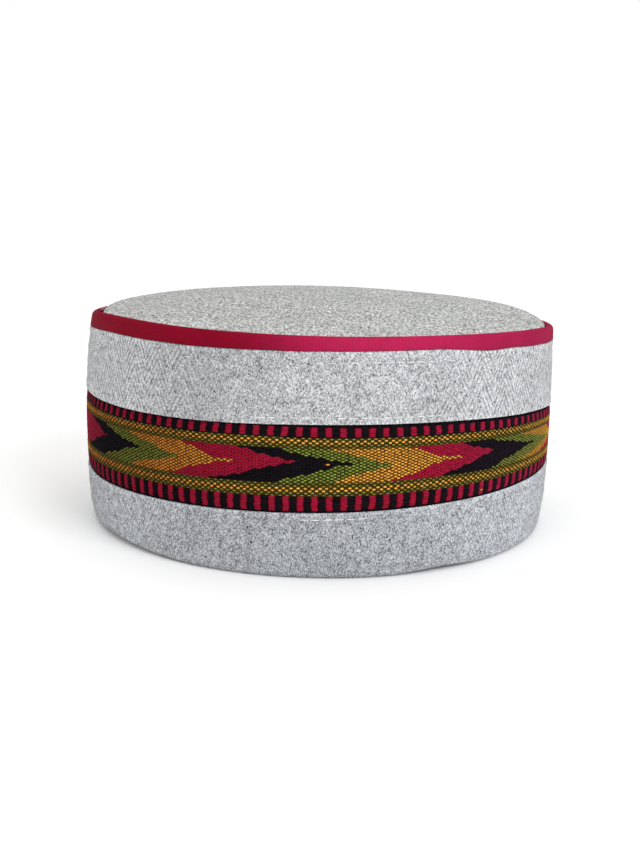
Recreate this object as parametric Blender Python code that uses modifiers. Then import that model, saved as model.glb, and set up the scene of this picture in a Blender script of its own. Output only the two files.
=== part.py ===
"""Kullu cap: a grey wool cap with a turned-up cuff, a woven band and a bound edge.

Metres, +Z up. The cap stands on its rim at z = 0 and its front faces -Y.
Each ring is drawn as a section at the front of the cap, turned once round,
and then carried onto the oval plan, where each of its edges follows its own
height round the cap.
"""

import math

import bpy
import numpy as np

MM = 0.001
CAP = "kullu_cap"

# Plan and outer profile of the cuff
HALF_WIDTH = 95.0 * MM
DEPTH_RATIO = 1.07
CUFF_HEIGHT = 87.4 * MM
WIDEST_AT = 0.6
PROFILE_SLOPE = -0.005
PROFILE_BOW = -0.052
RIM_TURN_IN = 1.7 * MM
RIM_TURN_IN_HEIGHT = 6.65 * MM
LEFT_PINCH = 2.6 * MM
STEPS = 64

# Cloth thicknesses and the clearance between pieces
CLOTH = 2.0 * MM
LIP = 0.7 * MM
WEAVE = 1.0 * MM
WALL = 1.6 * MM
BINDING = 0.8 * MM
GAP = 0.3 * MM

# Woven band: half its cut width, and how its middle bows out between the lips
WEAVE_HALF_WIDTH = 17.75 * MM
WEAVE_BOW_START = 2.0 * MM
WEAVE_BOW_SHOULDER = 0.6 * MM
WEAVE_BOW = 1.0 * MM

# Binding: how proud it stands. The cuff thins to a tongue inside it.
BINDING_PROUD = 0.2 * MM
TONGUE_OUTER = BINDING + GAP - BINDING_PROUD
TONGUE_INNER = 1.8 * MM
TONGUE_TOP_DROP = 1.9 * MM

# Rim fold round the foot of the side wall, and the hem that it turns up inside.
# The middle one of its segments is the flat that the cap rests on.
FOLD_RADIUS = CLOTH + GAP + WALL / 2
FOLD_SEGMENTS = 5
FLAT_STARTS = 180 / FOLD_SEGMENTS * (FOLD_SEGMENTS // 2)
FOLD_CENTRE = FOLD_RADIUS * math.sin(math.radians(FLAT_STARTS))
HEM_HEIGHT = 14.0 * MM

# Side wall: upright to this height, then leaning in under the crown's skirt
LEAN_START = 18.0 * MM

# Crown: a shallow dome with a rounded shoulder and a short skirt
CROWN_DEPTH_IN = 3.5 * MM
CROWN_EDGE = 82.9 * MM
CROWN_RISE = 3.3 * MM
CROWN_FLATNESS = 2.6
CROWN_TILT = -0.8 * MM
SHOULDER_RADIUS = 2.0 * MM
SKIRT_BOTTOM = 78.5 * MM

# Heights of the cuff's edges in mm, one row for each 30 degrees round the cap.
# The angle is 0 at the front and grows towards +X.
EDGE_COLUMNS = ("angle", "cuff_top", "binding_drop", "band_top", "band_bottom", "weave_middle")
EDGE_ROWS = (
    (-180, 78.6, 4.8, 48.5, 19.5, 35.0),
    (-150, 78.4, 4.8, 50.0, 19.8, 35.4),
    (-120, 79.2, 4.9, 51.5, 21.0, 36.7),
    (-90, 82.5, 5.1, 52.6, 22.3, 38.3),
    (-60, 87.2, 5.4, 53.9, 22.9, 40.0),
    (-30, 88.5, 5.2, 55.7, 24.2, 41.7),
    (0, 88.7, 4.5, 57.5, 25.7, 43.0),
    (30, 88.1, 4.4, 57.3, 27.2, 43.1),
    (60, 85.4, 5.0, 53.9, 28.3, 41.7),
    (90, 81.2, 4.9, 49.3, 28.0, 39.1),
    (120, 78.2, 4.8, 47.6, 24.5, 36.8),
    (150, 78.0, 4.8, 47.6, 21.0, 35.3),
)

# Materials: name, colour, roughness
WOOL = ("grey_wool", (0.52, 0.52, 0.50), 0.95)
CROWN_WOOL = ("crown_wool", (0.48, 0.48, 0.46), 0.95)
WALL_WOOL = ("inner_wool", (0.44, 0.44, 0.42), 0.95)
WEAVE_YARN = ("woven_yarn", (0.16, 0.09, 0.02), 0.9)
CRIMSON = ("crimson_cotton", (0.38, 0.01, 0.05), 0.8)


def edge(column, angle):
    """Height of a named edge at an angle in radians, by a smooth closed curve through the rows."""
    heights = np.array(EDGE_ROWS)[:, EDGE_COLUMNS.index(column)] * MM
    step = 2 * math.pi / len(heights)
    place = (np.asarray(angle) + math.pi) / step
    row = np.floor(place).astype(int)
    part = place - row
    before, start, end, after = (heights[(row + k) % len(heights)] for k in (-1, 0, 1, 2))
    bend = 2 * before - 5 * start + 4 * end - after
    twist = 3 * (start - end) + after - before
    return start + 0.5 * part * (end - before + part * (bend + part * twist))


def binding_bottom(angle):
    """Height of the binding's lower edges."""
    return edge("cuff_top", angle) - edge("binding_drop", angle)


def binding_step(angle):
    """Height at which the cuff thins, just under the binding."""
    return binding_bottom(angle) - GAP


def crown_edge(angle):
    """Height of the crown's edge, which leans a little to one side."""
    return CROWN_EDGE + CROWN_TILT * np.sin(angle)


def outer_radius(height, angle):
    """Half width of the cuff's outer face: rim turned in below, top leaning in on the left."""
    height = np.maximum(height, FOLD_RADIUS)
    from_widest = height / CUFF_HEIGHT - WIDEST_AT
    bowed = HALF_WIDTH * (1 + PROFILE_SLOPE * from_widest + PROFILE_BOW * from_widest ** 2)
    leftward = (0.5 - 0.5 * np.sin(angle)) ** 3
    pinch = LEFT_PINCH * leftward * (height / CUFF_HEIGHT) ** 6
    return bowed - pinch - RIM_TURN_IN * np.exp(-height / RIM_TURN_IN_HEIGHT)


def at_front(column):
    """Height of an edge at the front, where the sections are drawn."""
    return float(edge(column, 0.0))


def arc(depth, height, radius, first, last, segments):
    """Points on an arc of a section, by angle from the outward direction, in degrees."""
    angles = np.radians(np.linspace(first, last, segments + 1))
    return [(depth - radius * math.cos(a), height + radius * math.sin(a)) for a in angles]


def turn(name, section, closed):
    """Turn a section of (depth, height) points once round, depth counted in from the outer face."""
    points = [(HALF_WIDTH - depth, 0.0, height) for depth, height in section]
    count = len(points)
    edges = [(k, (k + 1) % count) for k in range(count if closed else count - 1)]
    mesh = bpy.data.meshes.new(name)
    mesh.from_pydata(points, edges, [])
    piece = bpy.data.objects.new(name, mesh)
    bpy.data.collections[CAP].objects.link(piece)
    screw = piece.modifiers.new("turn", "SCREW")
    screw.axis = "Z"
    screw.angle = 2 * math.pi
    screw.steps = STEPS
    screw.render_steps = STEPS
    screw.use_merge_vertices = True
    screw.merge_threshold = 0.00005
    return piece


def thicken(piece, thickness):
    """Give an open turned sheet its thickness, inwards."""
    solidify = piece.modifiers.new("cloth", "SOLIDIFY")
    solidify.thickness = thickness
    solidify.offset = -1.0
    solidify.use_even_offset = True


def real_heights(drawn, angle, levels):
    """Move each drawn height to its real one, in proportion between the levels beside it."""
    drawn_levels = [level[0] for level in levels]
    at_levels = [level[1](angle) for level in levels]
    result = at_levels[0] + drawn - drawn_levels[0]
    for k in range(1, len(levels)):
        span = drawn_levels[k] - drawn_levels[k - 1]
        share = (drawn - drawn_levels[k - 1]) / span
        between = at_levels[k - 1] + share * (at_levels[k] - at_levels[k - 1])
        result = np.where(drawn > drawn_levels[k - 1], between, result)
    return np.where(drawn > drawn_levels[-1], at_levels[-1] + drawn - drawn_levels[-1], result)


def carry(piece, levels):
    """Bake the modifiers and carry the ring onto the oval plan and the real edge heights.

    levels are pairs of a height drawn at the front and a function of the angle
    that gives the same edge's real height.
    """
    bpy.context.view_layer.update()
    depsgraph = bpy.context.evaluated_depsgraph_get()
    turned = bpy.data.meshes.new_from_object(piece.evaluated_get(depsgraph))
    piece.modifiers.clear()
    points = np.empty(len(turned.vertices) * 3)
    turned.vertices.foreach_get("co", points)
    x, y, drawn = points.reshape(-1, 3).T
    angle = np.arctan2(x, -y)
    height = real_heights(drawn, angle, levels)
    radius = np.hypot(x, y) * outer_radius(height, angle) / HALF_WIDTH
    placed = np.stack([radius * np.sin(angle), -DEPTH_RATIO * radius * np.cos(angle), height], 1)
    turned.vertices.foreach_set("co", placed.ravel())
    turned.update()
    drawn_mesh = piece.data
    piece.data = turned
    bpy.data.meshes.remove(drawn_mesh)
    turned.name = piece.name
    turned.shade_smooth()
    turned.set_sharp_from_angle(angle=math.radians(40))


def paint(piece, finish):
    """Give a piece its own material."""
    name, colour, roughness = finish
    material = bpy.data.materials.new(name)
    material.use_nodes = True
    shader = material.node_tree.nodes["Principled BSDF"]
    shader.inputs["Base Color"].default_value = (*colour, 1.0)
    shader.inputs["Roughness"].default_value = roughness
    shader.inputs["Metallic"].default_value = 0.0
    piece.data.materials.append(material)


def fixed(height):
    """A level that stays at one height all round."""
    return height, lambda angle: np.full_like(angle, height)


def following(drawn, column, offset=0.0):
    """A level that follows a named edge at an offset above it."""
    return drawn, lambda angle: edge(column, angle) + offset


def lower_strip():
    """Wool strip below the band: the rim fold, the hem inside and a lip over the band."""
    lip_top = at_front("band_bottom")
    shelf_offset = -WEAVE_HALF_WIDTH - GAP
    shelf = at_front("weave_middle") + shelf_offset
    hem_depth = 2 * FOLD_RADIUS
    section = [(0.0, lip_top), (0.0, 15 * MM), (0.0, 8 * MM)]
    section += arc(FOLD_RADIUS, FOLD_CENTRE, FOLD_RADIUS, 0, -180, FOLD_SEGMENTS)
    section += [(hem_depth, HEM_HEIGHT), (hem_depth - CLOTH, HEM_HEIGHT)]
    section += arc(FOLD_RADIUS, FOLD_CENTRE, FOLD_RADIUS - CLOTH, -180, 0, FOLD_SEGMENTS - 1)
    section += [(CLOTH, 8 * MM), (CLOTH, 15 * MM), (CLOTH, shelf), (LIP, shelf), (LIP, lip_top)]
    piece = turn("lower_strip", section, closed=True)
    levels = [fixed(0.0), fixed(HEM_HEIGHT)]
    levels += [following(shelf, "weave_middle", shelf_offset), following(lip_top, "band_bottom")]
    carry(piece, levels)
    paint(piece, WOOL)


def upper_strip():
    """Wool strip above the band: a lip over the band, and a tongue inside the binding."""
    top = at_front("cuff_top")
    lip_bottom = at_front("band_top")
    shelf_offset = WEAVE_HALF_WIDTH + GAP
    shelf = at_front("weave_middle") + shelf_offset
    tongue_top = top - TONGUE_TOP_DROP
    step = float(binding_step(0.0))
    middle = 0.5 * (step + lip_bottom)
    section = [(TONGUE_OUTER, tongue_top), (TONGUE_OUTER, step), (0.0, step), (0.0, middle)]
    section += [(0.0, lip_bottom), (LIP, lip_bottom), (LIP, shelf), (CLOTH, shelf)]
    section += [(CLOTH, step), (TONGUE_INNER, step + GAP), (TONGUE_INNER, tongue_top)]
    piece = turn("upper_strip", section, closed=True)
    levels = [following(lip_bottom, "band_top"), following(shelf, "weave_middle", shelf_offset)]
    levels += [(step, binding_step), following(top, "cuff_top")]
    carry(piece, levels)
    paint(piece, WOOL)


def woven_band():
    """Woven ribbon: its edges lie behind the lips and its middle bows out between them."""
    middle = at_front("weave_middle")
    upper = at_front("band_top")
    lower = at_front("band_bottom")
    rows = (
        (middle + WEAVE_HALF_WIDTH, 0.0),
        (upper, 0.0),
        (upper - WEAVE_BOW_START, WEAVE_BOW_SHOULDER),
        (middle, WEAVE_BOW),
        (lower + WEAVE_BOW_START, WEAVE_BOW_SHOULDER),
        (lower, 0.0),
        (middle - WEAVE_HALF_WIDTH, 0.0),
    )
    section = [(CLOTH - WEAVE - bow, height) for height, bow in rows]
    section += [(CLOTH - bow, height) for height, bow in reversed(rows)]
    piece = turn("woven_band", section, closed=True)
    levels = [following(middle - WEAVE_HALF_WIDTH, "weave_middle", -WEAVE_HALF_WIDTH)]
    levels += [following(lower, "band_bottom"), following(middle, "weave_middle")]
    levels += [following(upper, "band_top")]
    levels += [following(middle + WEAVE_HALF_WIDTH, "weave_middle", WEAVE_HALF_WIDTH)]
    carry(piece, levels)
    paint(piece, WEAVE_YARN)


def edge_binding():
    """Crimson binding folded over the cuff's top edge: two legs joined by a round top."""
    top = at_front("cuff_top")
    leg_bottom = float(binding_bottom(0.0))
    outer_face = -BINDING_PROUD
    inner_face = TONGUE_INNER + GAP + BINDING
    middle = 0.5 * (outer_face + inner_face)
    radius = 0.5 * (inner_face - outer_face)
    centre = top - radius
    section = arc(middle, centre, radius, 180, 0, 6)
    section += [(outer_face, leg_bottom), (outer_face + BINDING, leg_bottom)]
    section += arc(middle, centre, radius - BINDING, 0, 180, 4)
    section += [(inner_face - BINDING, leg_bottom), (inner_face, leg_bottom)]
    piece = turn("edge_binding", section, closed=True)
    carry(piece, [(leg_bottom, binding_bottom), following(top, "cuff_top")])
    paint(piece, CRIMSON)


def crown_panel():
    """Wool disc: a shallow dome with a rounded shoulder and a short turned-down skirt."""
    edge_radius = HALF_WIDTH - CROWN_DEPTH_IN
    slope = CROWN_FLATNESS * CROWN_RISE / edge_radius
    turn_start = 90 - math.degrees(math.atan(slope))
    shoulder_in = SHOULDER_RADIUS * (1 - math.cos(math.radians(turn_start)))
    dome_end = 1 - shoulder_in / edge_radius
    section = []
    for share in (0.0, 0.25, 0.5, 0.75, 0.9):
        height = CROWN_EDGE + CROWN_RISE * (1 - share ** CROWN_FLATNESS)
        section.append((HALF_WIDTH - share * edge_radius, height))
    dome_end_height = CROWN_EDGE + CROWN_RISE * (1 - dome_end ** CROWN_FLATNESS)
    centre = dome_end_height - SHOULDER_RADIUS * math.sin(math.radians(turn_start))
    middle = CROWN_DEPTH_IN + SHOULDER_RADIUS
    section += arc(middle, centre, SHOULDER_RADIUS, turn_start, 0, 3)
    section += [(CROWN_DEPTH_IN, SKIRT_BOTTOM)]
    piece = turn("crown_panel", section, closed=False)
    thicken(piece, CLOTH)
    carry(piece, [(CROWN_EDGE, crown_edge)])
    paint(piece, CROWN_WOOL)


def side_wall():
    """Inner wool wall: stands in the rim fold and carries the crown's skirt."""
    top = SKIRT_BOTTOM - GAP
    foot_depth = CLOTH + GAP
    top_depth = CROWN_DEPTH_IN + 0.1 * MM
    section = []
    for height in (top, 58 * MM, 38 * MM, LEAN_START, FOLD_CENTRE):
        share = max(0.0, (height - LEAN_START) / (top - LEAN_START))
        section.append((foot_depth + share * (top_depth - foot_depth), height))
    piece = turn("side_wall", section, closed=False)
    thicken(piece, WALL)
    carry(piece, [fixed(LEAN_START), (CROWN_EDGE, crown_edge)])
    paint(piece, WALL_WOOL)


def main():
    """Clear the scene and build the six pieces."""
    for old in list(bpy.data.objects):
        bpy.data.objects.remove(old, do_unlink=True)
    cap = bpy.data.collections.new(CAP)
    bpy.context.scene.collection.children.link(cap)
    lower_strip()
    upper_strip()
    woven_band()
    edge_binding()
    crown_panel()
    side_wall()


main()
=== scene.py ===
"""Looks of a grey wool kullu cap: cloth, woven band, binding and stitches round its solids.

Metres, +Z up. The cap stands on its rim at z = 0 and its front faces -Y. Angles are in
radians, 0 at the front and growing towards +X. An arc is the distance round the cap from the
front, along the cuff at the band's height. A depth is counted in from the cuff's outer face.
"""

from __future__ import annotations

import logging
import math
from collections.abc import Callable, Sequence
from dataclasses import dataclass, field
from enum import Enum
from functools import cached_property

import bpy
import numpy as np
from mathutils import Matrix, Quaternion, Vector


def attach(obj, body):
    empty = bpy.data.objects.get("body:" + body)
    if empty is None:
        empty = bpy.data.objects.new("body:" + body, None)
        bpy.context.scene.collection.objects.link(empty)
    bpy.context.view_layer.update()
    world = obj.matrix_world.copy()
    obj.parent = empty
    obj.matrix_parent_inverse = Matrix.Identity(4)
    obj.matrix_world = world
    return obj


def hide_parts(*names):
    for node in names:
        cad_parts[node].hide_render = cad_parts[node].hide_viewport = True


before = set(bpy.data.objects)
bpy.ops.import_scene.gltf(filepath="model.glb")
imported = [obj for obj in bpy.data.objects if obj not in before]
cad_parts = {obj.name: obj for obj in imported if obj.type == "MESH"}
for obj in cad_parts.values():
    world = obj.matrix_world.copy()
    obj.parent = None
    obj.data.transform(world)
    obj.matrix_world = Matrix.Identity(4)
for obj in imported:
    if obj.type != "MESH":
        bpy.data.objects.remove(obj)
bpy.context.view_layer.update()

Array = np.ndarray
Colour = tuple[float, float, float]
Surface = Callable[[Array, Array, Array], Array]
Piece = bpy.types.Object
Socket = bpy.types.NodeSocket
Material = bpy.types.Material

MM = 0.001
SEED = 20
BODY = "root"
CLOTH_UV = "cloth"
log = logging.getLogger("kullu_cap")

# Heights of the cap's edges in mm, one row for each 30 degrees round the cap
EDGE_COLUMNS = (
    "angle", "cuff_top", "binding_drop", "band_top", "band_bottom", "weave_middle",
    "crown_edge",
)
EDGE_ROWS = (
    (-180, 78.6, 5.3, 48.5, 19.5, 35.0, 82.0),
    (-150, 78.4, 5.3, 50.0, 19.8, 35.4, 82.1),
    (-120, 79.2, 5.5, 51.5, 21.0, 36.7, 82.4),
    (-90, 82.5, 5.8, 52.6, 22.0, 38.3, 83.3),
    (-60, 87.2, 6.1, 53.9, 22.4, 40.0, 83.2),
    (-30, 88.5, 5.9, 55.7, 23.8, 41.7, 82.9),
    (0, 88.7, 5.0, 57.5, 25.3, 43.0, 82.9),
    (30, 88.1, 4.6, 57.0, 26.6, 43.1, 82.9),
    (60, 85.5, 5.8, 53.9, 27.4, 41.7, 82.4),
    (90, 81.0, 5.4, 49.3, 27.2, 39.1, 81.8),
    (120, 78.2, 5.3, 47.6, 24.5, 36.8, 82.2),
    (150, 78.0, 5.3, 47.6, 21.0, 35.3, 81.7),
)


class Edge(Enum):
    """A named edge of the cap, which is its column in EDGE_ROWS."""

    CUFF_TOP = "cuff_top"
    BINDING_DROP = "binding_drop"
    BAND_TOP = "band_top"
    BAND_BOTTOM = "band_bottom"
    WEAVE_MIDDLE = "weave_middle"
    CROWN_EDGE = "crown_edge"


class Slot(Enum):
    """A material slot of the record."""

    GREY_WOOL = "grey_wool"
    CROWN_WOOL = "crown_wool"
    INNER_WOOL = "inner_wool"
    WOVEN_YARN = "woven_yarn"
    CRIMSON = "crimson_cotton"


class Yarn(Enum):
    """A colour of weft yarn: the chevrons' four in their order, then olive."""

    RED = 0
    BLACK = 1
    GREEN = 2
    GOLD = 3
    OLIVE = 4


class Weave(Enum):
    """How a row of the band is woven."""

    EDGE = 0
    BLOCKS = 1
    SHADOW = 2
    OLIVE_LINE = 3
    GOLD_LINE = 4
    FIELD = 5


def bell(value: Array, at: Array | float, width: float) -> Array:
    """A Gaussian bell: exp(-((value - at) / width)^2)."""
    return np.exp(-(((value - at) / width) ** 2))


@dataclass(frozen=True)
class CapForm:
    """The cap's plan and outer profile, and where its edges run.

    Args:
        half_width: Half the cap's width where it is widest.
        depth_ratio: Front-to-back size over width.
        unevenness: How far the hand-sewn cloth departs from the smooth form.
        sag: How far the binding hangs lower at one place of its front.
        lift: How far the rim stands off the ground where the cloth curls up.
        lift_places: Angle and reach of each such place, in degrees.
    """

    half_width: float = 95.0 * MM
    depth_ratio: float = 1.07
    cuff_height: float = 87.4 * MM
    widest_at: float = 0.6
    profile_slope: float = -0.005
    profile_bow: float = -0.052
    rim_turn_in: float = 1.7 * MM
    rim_turn_in_height: float = 6.65 * MM
    left_pinch: float = 2.6 * MM
    cloth: float = 2.0 * MM
    lip: float = 0.7 * MM
    weave: float = 1.0 * MM
    wall: float = 1.6 * MM
    binding: float = 0.8 * MM
    gap: float = 0.3 * MM
    weave_half_width: float = 17.75 * MM
    tongue_inner: float = 1.8 * MM
    binding_proud: float = 0.2 * MM
    crown_height: float = 82.9 * MM
    fold_flat: float = math.radians(72)
    plan_height: float = 43.0 * MM
    plan_samples: int = 4001
    unevenness: float = 0.3 * MM
    sag: float = 0.9 * MM
    sag_at: float = math.radians(40)
    sag_width: float = 0.12
    lift: float = 1.3 * MM
    lift_places: tuple[tuple[float, float], ...] = ((-57.0, 18.0), (31.0, 9.0))
    lift_fade: float = 8.0 * MM

    @property
    def fold_radius(self) -> float:
        """Outer radius of the rim fold round the foot of the side wall."""
        return self.cloth + self.gap + self.wall / 2

    @property
    def fold_centre(self) -> float:
        """Height of the rim fold's centre, which leaves the fold's flat at z = 0."""
        return self.fold_radius * math.sin(self.fold_flat)

    def edge(self, name: Edge, angle: Array) -> Array:
        """Height of a named edge.

        The closed curve through the rows is cubic between two rows, and its slope at a row
        is that of the line through the two rows beside it.

        Args:
            name: The edge.
            angle: Angles round the cap.

        Returns:
            The heights, in metres.
        """
        heights = np.array(EDGE_ROWS)[:, EDGE_COLUMNS.index(name.value)] * MM
        step = 2 * math.pi / len(heights)
        place = (np.asarray(angle) + math.pi) / step
        row = np.floor(place).astype(int)
        part = place - row
        before, start, end, after = (heights[(row + k) % len(heights)] for k in (-1, 0, 1, 2))
        bend = 2 * before - 5 * start + 4 * end - after
        twist = 3 * (start - end) + after - before
        return start + 0.5 * part * (end - before + part * (bend + part * twist))

    def binding_bottom(self, angle: Array) -> Array:
        """Height of the binding's lower edges, which hang lower in a small Gaussian sag."""
        sag = self.sag * bell(angle, self.sag_at, self.sag_width)
        return self.edge(Edge.CUFF_TOP, angle) - self.edge(Edge.BINDING_DROP, angle) - sag

    def rim_lift(self, height: Array, angle: Array) -> Array:
        """How far the cloth curls up off the ground: Gaussians round the rim that fade upwards."""
        lifted = sum(bell(np.degrees(angle), at, reach) for at, reach in self.lift_places)
        return self.lift * lifted * np.exp(-height / self.lift_fade)

    def outer_radius(self, height: Array, angle: Array) -> Array:
        """Half width of the cuff's outer face.

        A flat parabola over the height, less a pinch at the upper left and less the turned-in
        rim, which dies away upwards as an exponential.

        Args:
            height: Heights above the rim.
            angle: Angles round the cap.

        Returns:
            The half widths.
        """
        height = np.maximum(height, self.fold_radius)
        from_widest = height / self.cuff_height - self.widest_at
        bowed = 1 + self.profile_slope * from_widest + self.profile_bow * from_widest**2
        leftward = (0.5 - 0.5 * np.sin(angle)) ** 3
        pinch = self.left_pinch * leftward * (height / self.cuff_height) ** 6
        turned_in = self.rim_turn_in * np.exp(-height / self.rim_turn_in_height)
        return self.half_width * bowed - pinch - turned_in

    def wave(self, height: Array, angle: Array) -> Array:
        """Outward departure of the cloth from the smooth form: a few slow sines.

        Args:
            height: Heights above the rim.
            angle: Angles round the cap.

        Returns:
            The departures.
        """
        slow = 0.5 * np.sin(3 * angle + 1.1) + 0.3 * np.sin(5 * angle + 45 * height + 0.4)
        quick = 0.2 * np.sin(11 * angle - 60 * height + 2.0)
        window = np.sin(math.pi * np.clip(height / self.cuff_height, 0.0, 1.0))
        return self.unevenness * (slow + quick) * window

    def place(self, angle: Array, height: Array, depth: Array) -> Array:
        """Points of the cap on its oval plan.

        The radius is the outer face's, scaled by the share of the half width that the depth
        leaves. The plan stretches it from front to back, and the curl of the rim raises it.

        Args:
            angle: Angles round the cap.
            height: Heights above the rim.
            depth: Depths in from the outer face.

        Returns:
            The points, with x, y and z on the last axis.
        """
        angle, height, depth = np.broadcast_arrays(angle, height, depth)
        face = self.outer_radius(height, angle) + self.wave(height, angle)
        radius = (self.half_width - depth) * face / self.half_width
        x = radius * np.sin(angle)
        y = -self.depth_ratio * radius * np.cos(angle)
        return np.stack([x, y, height + self.rim_lift(height, angle)], -1)

    @cached_property
    def plan(self) -> tuple[Array, Array]:
        """Angles round the plan at the band's height, and the arc to each.

        Returns:
            The two arrays.
        """
        angle = np.linspace(-math.pi, math.pi, self.plan_samples)
        points = self.place(angle, self.plan_height, 0.0)
        steps = np.linalg.norm(np.diff(points, axis=0), axis=1)
        arc = np.concatenate([[0.0], np.cumsum(steps)])
        return angle, arc - np.interp(0.0, angle, arc)

    @property
    def girth(self) -> float:
        """Distance once round the cuff."""
        return float(self.plan[1][-1] - self.plan[1][0])

    def arc_at(self, angle: Array) -> Array:
        """Arcs at angles from minus to plus half a turn."""
        return np.interp(angle, *self.plan)

    def angle_at(self, arc: Array) -> Array:
        """Angles at arcs, which may run on past the back."""
        first = self.plan[1][0]
        return np.interp((arc - first) % self.girth + first, self.plan[1], self.plan[0])

    def back_distance(self, angle: Array) -> Array:
        """Distance round the cuff from the seam at the back."""
        arc = self.arc_at((np.asarray(angle) + math.pi) % (2 * math.pi) - math.pi)
        return np.minimum(arc - self.plan[1][0], self.plan[1][-1] - arc)


@dataclass(frozen=True)
class StitchLine:
    """A line of running stitches through the wool.

    Args:
        datum: Height of the line at given angles.
        clear_at: Arc where the nap is thin and every stitch shows.
        clear_reach: How far the thin nap reaches to each side.
        elsewhere: Share of the stitches that show elsewhere.
        pitch: Distance from one stitch to the next.
        length: Length of thread that shows.
    """

    name: str
    datum: Callable[[Array], Array]
    clear_at: float
    clear_reach: float
    elsewhere: float = 0.03
    pitch: float = 4.2 * MM
    length: float = 3.8 * MM
    dip: float = 0.22 * MM
    dip_width: float = 0.9 * MM

    def showing(self, arc: Array) -> Array:
        """Share of the stitches that show at given arcs: a flat-topped bell over the thin nap."""
        thin = np.exp(-(((arc - self.clear_at) / self.clear_reach) ** 4))
        return self.elsewhere + (1 - self.elsewhere) * thin

    def pucker(self, arc: Array, angle: Array, height: Array) -> Array:
        """Depth to which the thread pulls the wool in: deepest halfway along each stitch."""
        near = bell(height, self.datum(angle), self.dip_width)
        return self.dip * near * (0.6 + 0.4 * np.cos(2 * math.pi * arc / self.pitch))


@dataclass(frozen=True)
class CuffFace:
    """The small relief of the cuff's outer face: puckers, folded edges and the back seam."""

    form: CapForm
    puff: float = 0.28 * MM
    puff_at: float = 1.3 * MM
    puff_width: float = 1.0 * MM
    seam_depth: float = 0.8 * MM
    seam_width: float = 0.7 * MM
    seam_puff: float = 0.25 * MM
    seam_puff_at: float = 2.2 * MM
    seam_puff_width: float = 1.2 * MM

    @cached_property
    def lines(self) -> tuple[StitchLine, ...]:
        """The three lines of stitches that hold the binding and the two edges of the band."""
        below, edge = self.form.binding_bottom, self.form.edge
        return (
            StitchLine("binding_stitches", lambda a: below(a) - 4.4 * MM, 25 * MM, 26 * MM),
            StitchLine("band_top_stitches", lambda a: edge(Edge.BAND_TOP, a) + 2.4 * MM,
                       20 * MM, 39 * MM),
            StitchLine("band_foot_stitches", lambda a: edge(Edge.BAND_BOTTOM, a) - 2.5 * MM,
                       8.5 * MM, 11 * MM),
        )

    def relief(self, angle: Array, height: Array) -> Array:
        """Extra depth of the outer face.

        The stitches' puckers and the seam's groove go in, each a Gaussian across its line,
        and the wool stands out beside the seam and beside each folded edge.

        Args:
            angle: Angles round the cap.
            height: Heights above the rim.

        Returns:
            Depths, negative where the wool stands out.
        """
        angle = (np.asarray(angle) + math.pi) % (2 * math.pi) - math.pi
        arc = self.form.arc_at(angle)
        depth = sum(line.pucker(arc, angle, height) for line in self.lines)
        edges = (
            self.form.binding_bottom(angle) - height,
            height - self.form.edge(Edge.BAND_TOP, angle),
            self.form.edge(Edge.BAND_BOTTOM, angle) - height,
        )
        for distance in edges:
            depth = depth - self.puff * bell(distance, self.puff_at, self.puff_width)
        back = self.form.back_distance(angle)
        depth = depth + self.seam_depth * bell(back, 0.0, self.seam_width)
        return depth - self.seam_puff * bell(back, self.seam_puff_at, self.seam_puff_width)

    def surface(self, datum: Callable[[Array], Array]) -> Surface:
        """The outer face as a function of arc, height above a datum line, and lift off it.

        Args:
            datum: Height of the datum line at given angles.

        Returns:
            The function that places points.
        """

        def points(arc: Array, rise: Array, lift: Array) -> Array:
            angle = self.form.angle_at(arc)
            height = datum(angle) + rise
            return self.form.place(angle, height, self.relief(angle, height) - lift)

        return points


def station(angle: Array, depth: Array | float, height: Array | float) -> Array:
    """One point of a section, with its depth and height at every angle."""
    return np.stack([np.broadcast_to(depth, angle.shape), np.broadcast_to(height, angle.shape)], -1)


def arc_stations(
    angle: Array, centre: tuple[Array | float, Array | float], radius: float,
    first: float, last: float, segments: int,
) -> list[Array]:
    """Stations on a circular arc, whose angles run from the outward direction.

    Args:
        angle: Angles round the cap.
        centre: Depth and height of the arc's centre.
        radius: Radius of the arc.
        first: Where the arc starts, in degrees.
        last: Where it ends, in degrees.
        segments: Number of equal steps.

    Returns:
        The stations.
    """
    turns = np.radians(np.linspace(first, last, segments + 1))
    depth, height = centre
    return [
        station(angle, depth - radius * math.cos(a), height + radius * math.sin(a)) for a in turns
    ]


def round_corners(outline: Array, reach: float, cuts: int = 2) -> Array:
    """Round every corner of a closed outline.

    Corner P becomes the curve (1-t)^2 A + 2t(1-t) P + t^2 B, where A and B lie on its two
    sides, at most reach away and never past 0.45 of the side.

    Args:
        outline: Stations by angles by (depth, height).
        reach: How far the rounding goes along each side.
        cuts: Number of segments in each corner.

    Returns:
        The outline with cuts + 1 stations for each corner.
    """
    ends = []
    for neighbour in (np.roll(outline, 1, 0), np.roll(outline, -1, 0)):
        way = neighbour - outline
        length = np.maximum(np.linalg.norm(way, axis=-1, keepdims=True), 1e-9)
        ends.append((outline + way * np.minimum(reach / length, 0.45))[:, None])
    t = np.linspace(0.0, 1.0, cuts + 1)[None, :, None, None]
    curve = (1 - t) ** 2 * ends[0] + 2 * t * (1 - t) * outline[:, None] + t**2 * ends[1]
    return curve.reshape(-1, *outline.shape[1:])


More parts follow.
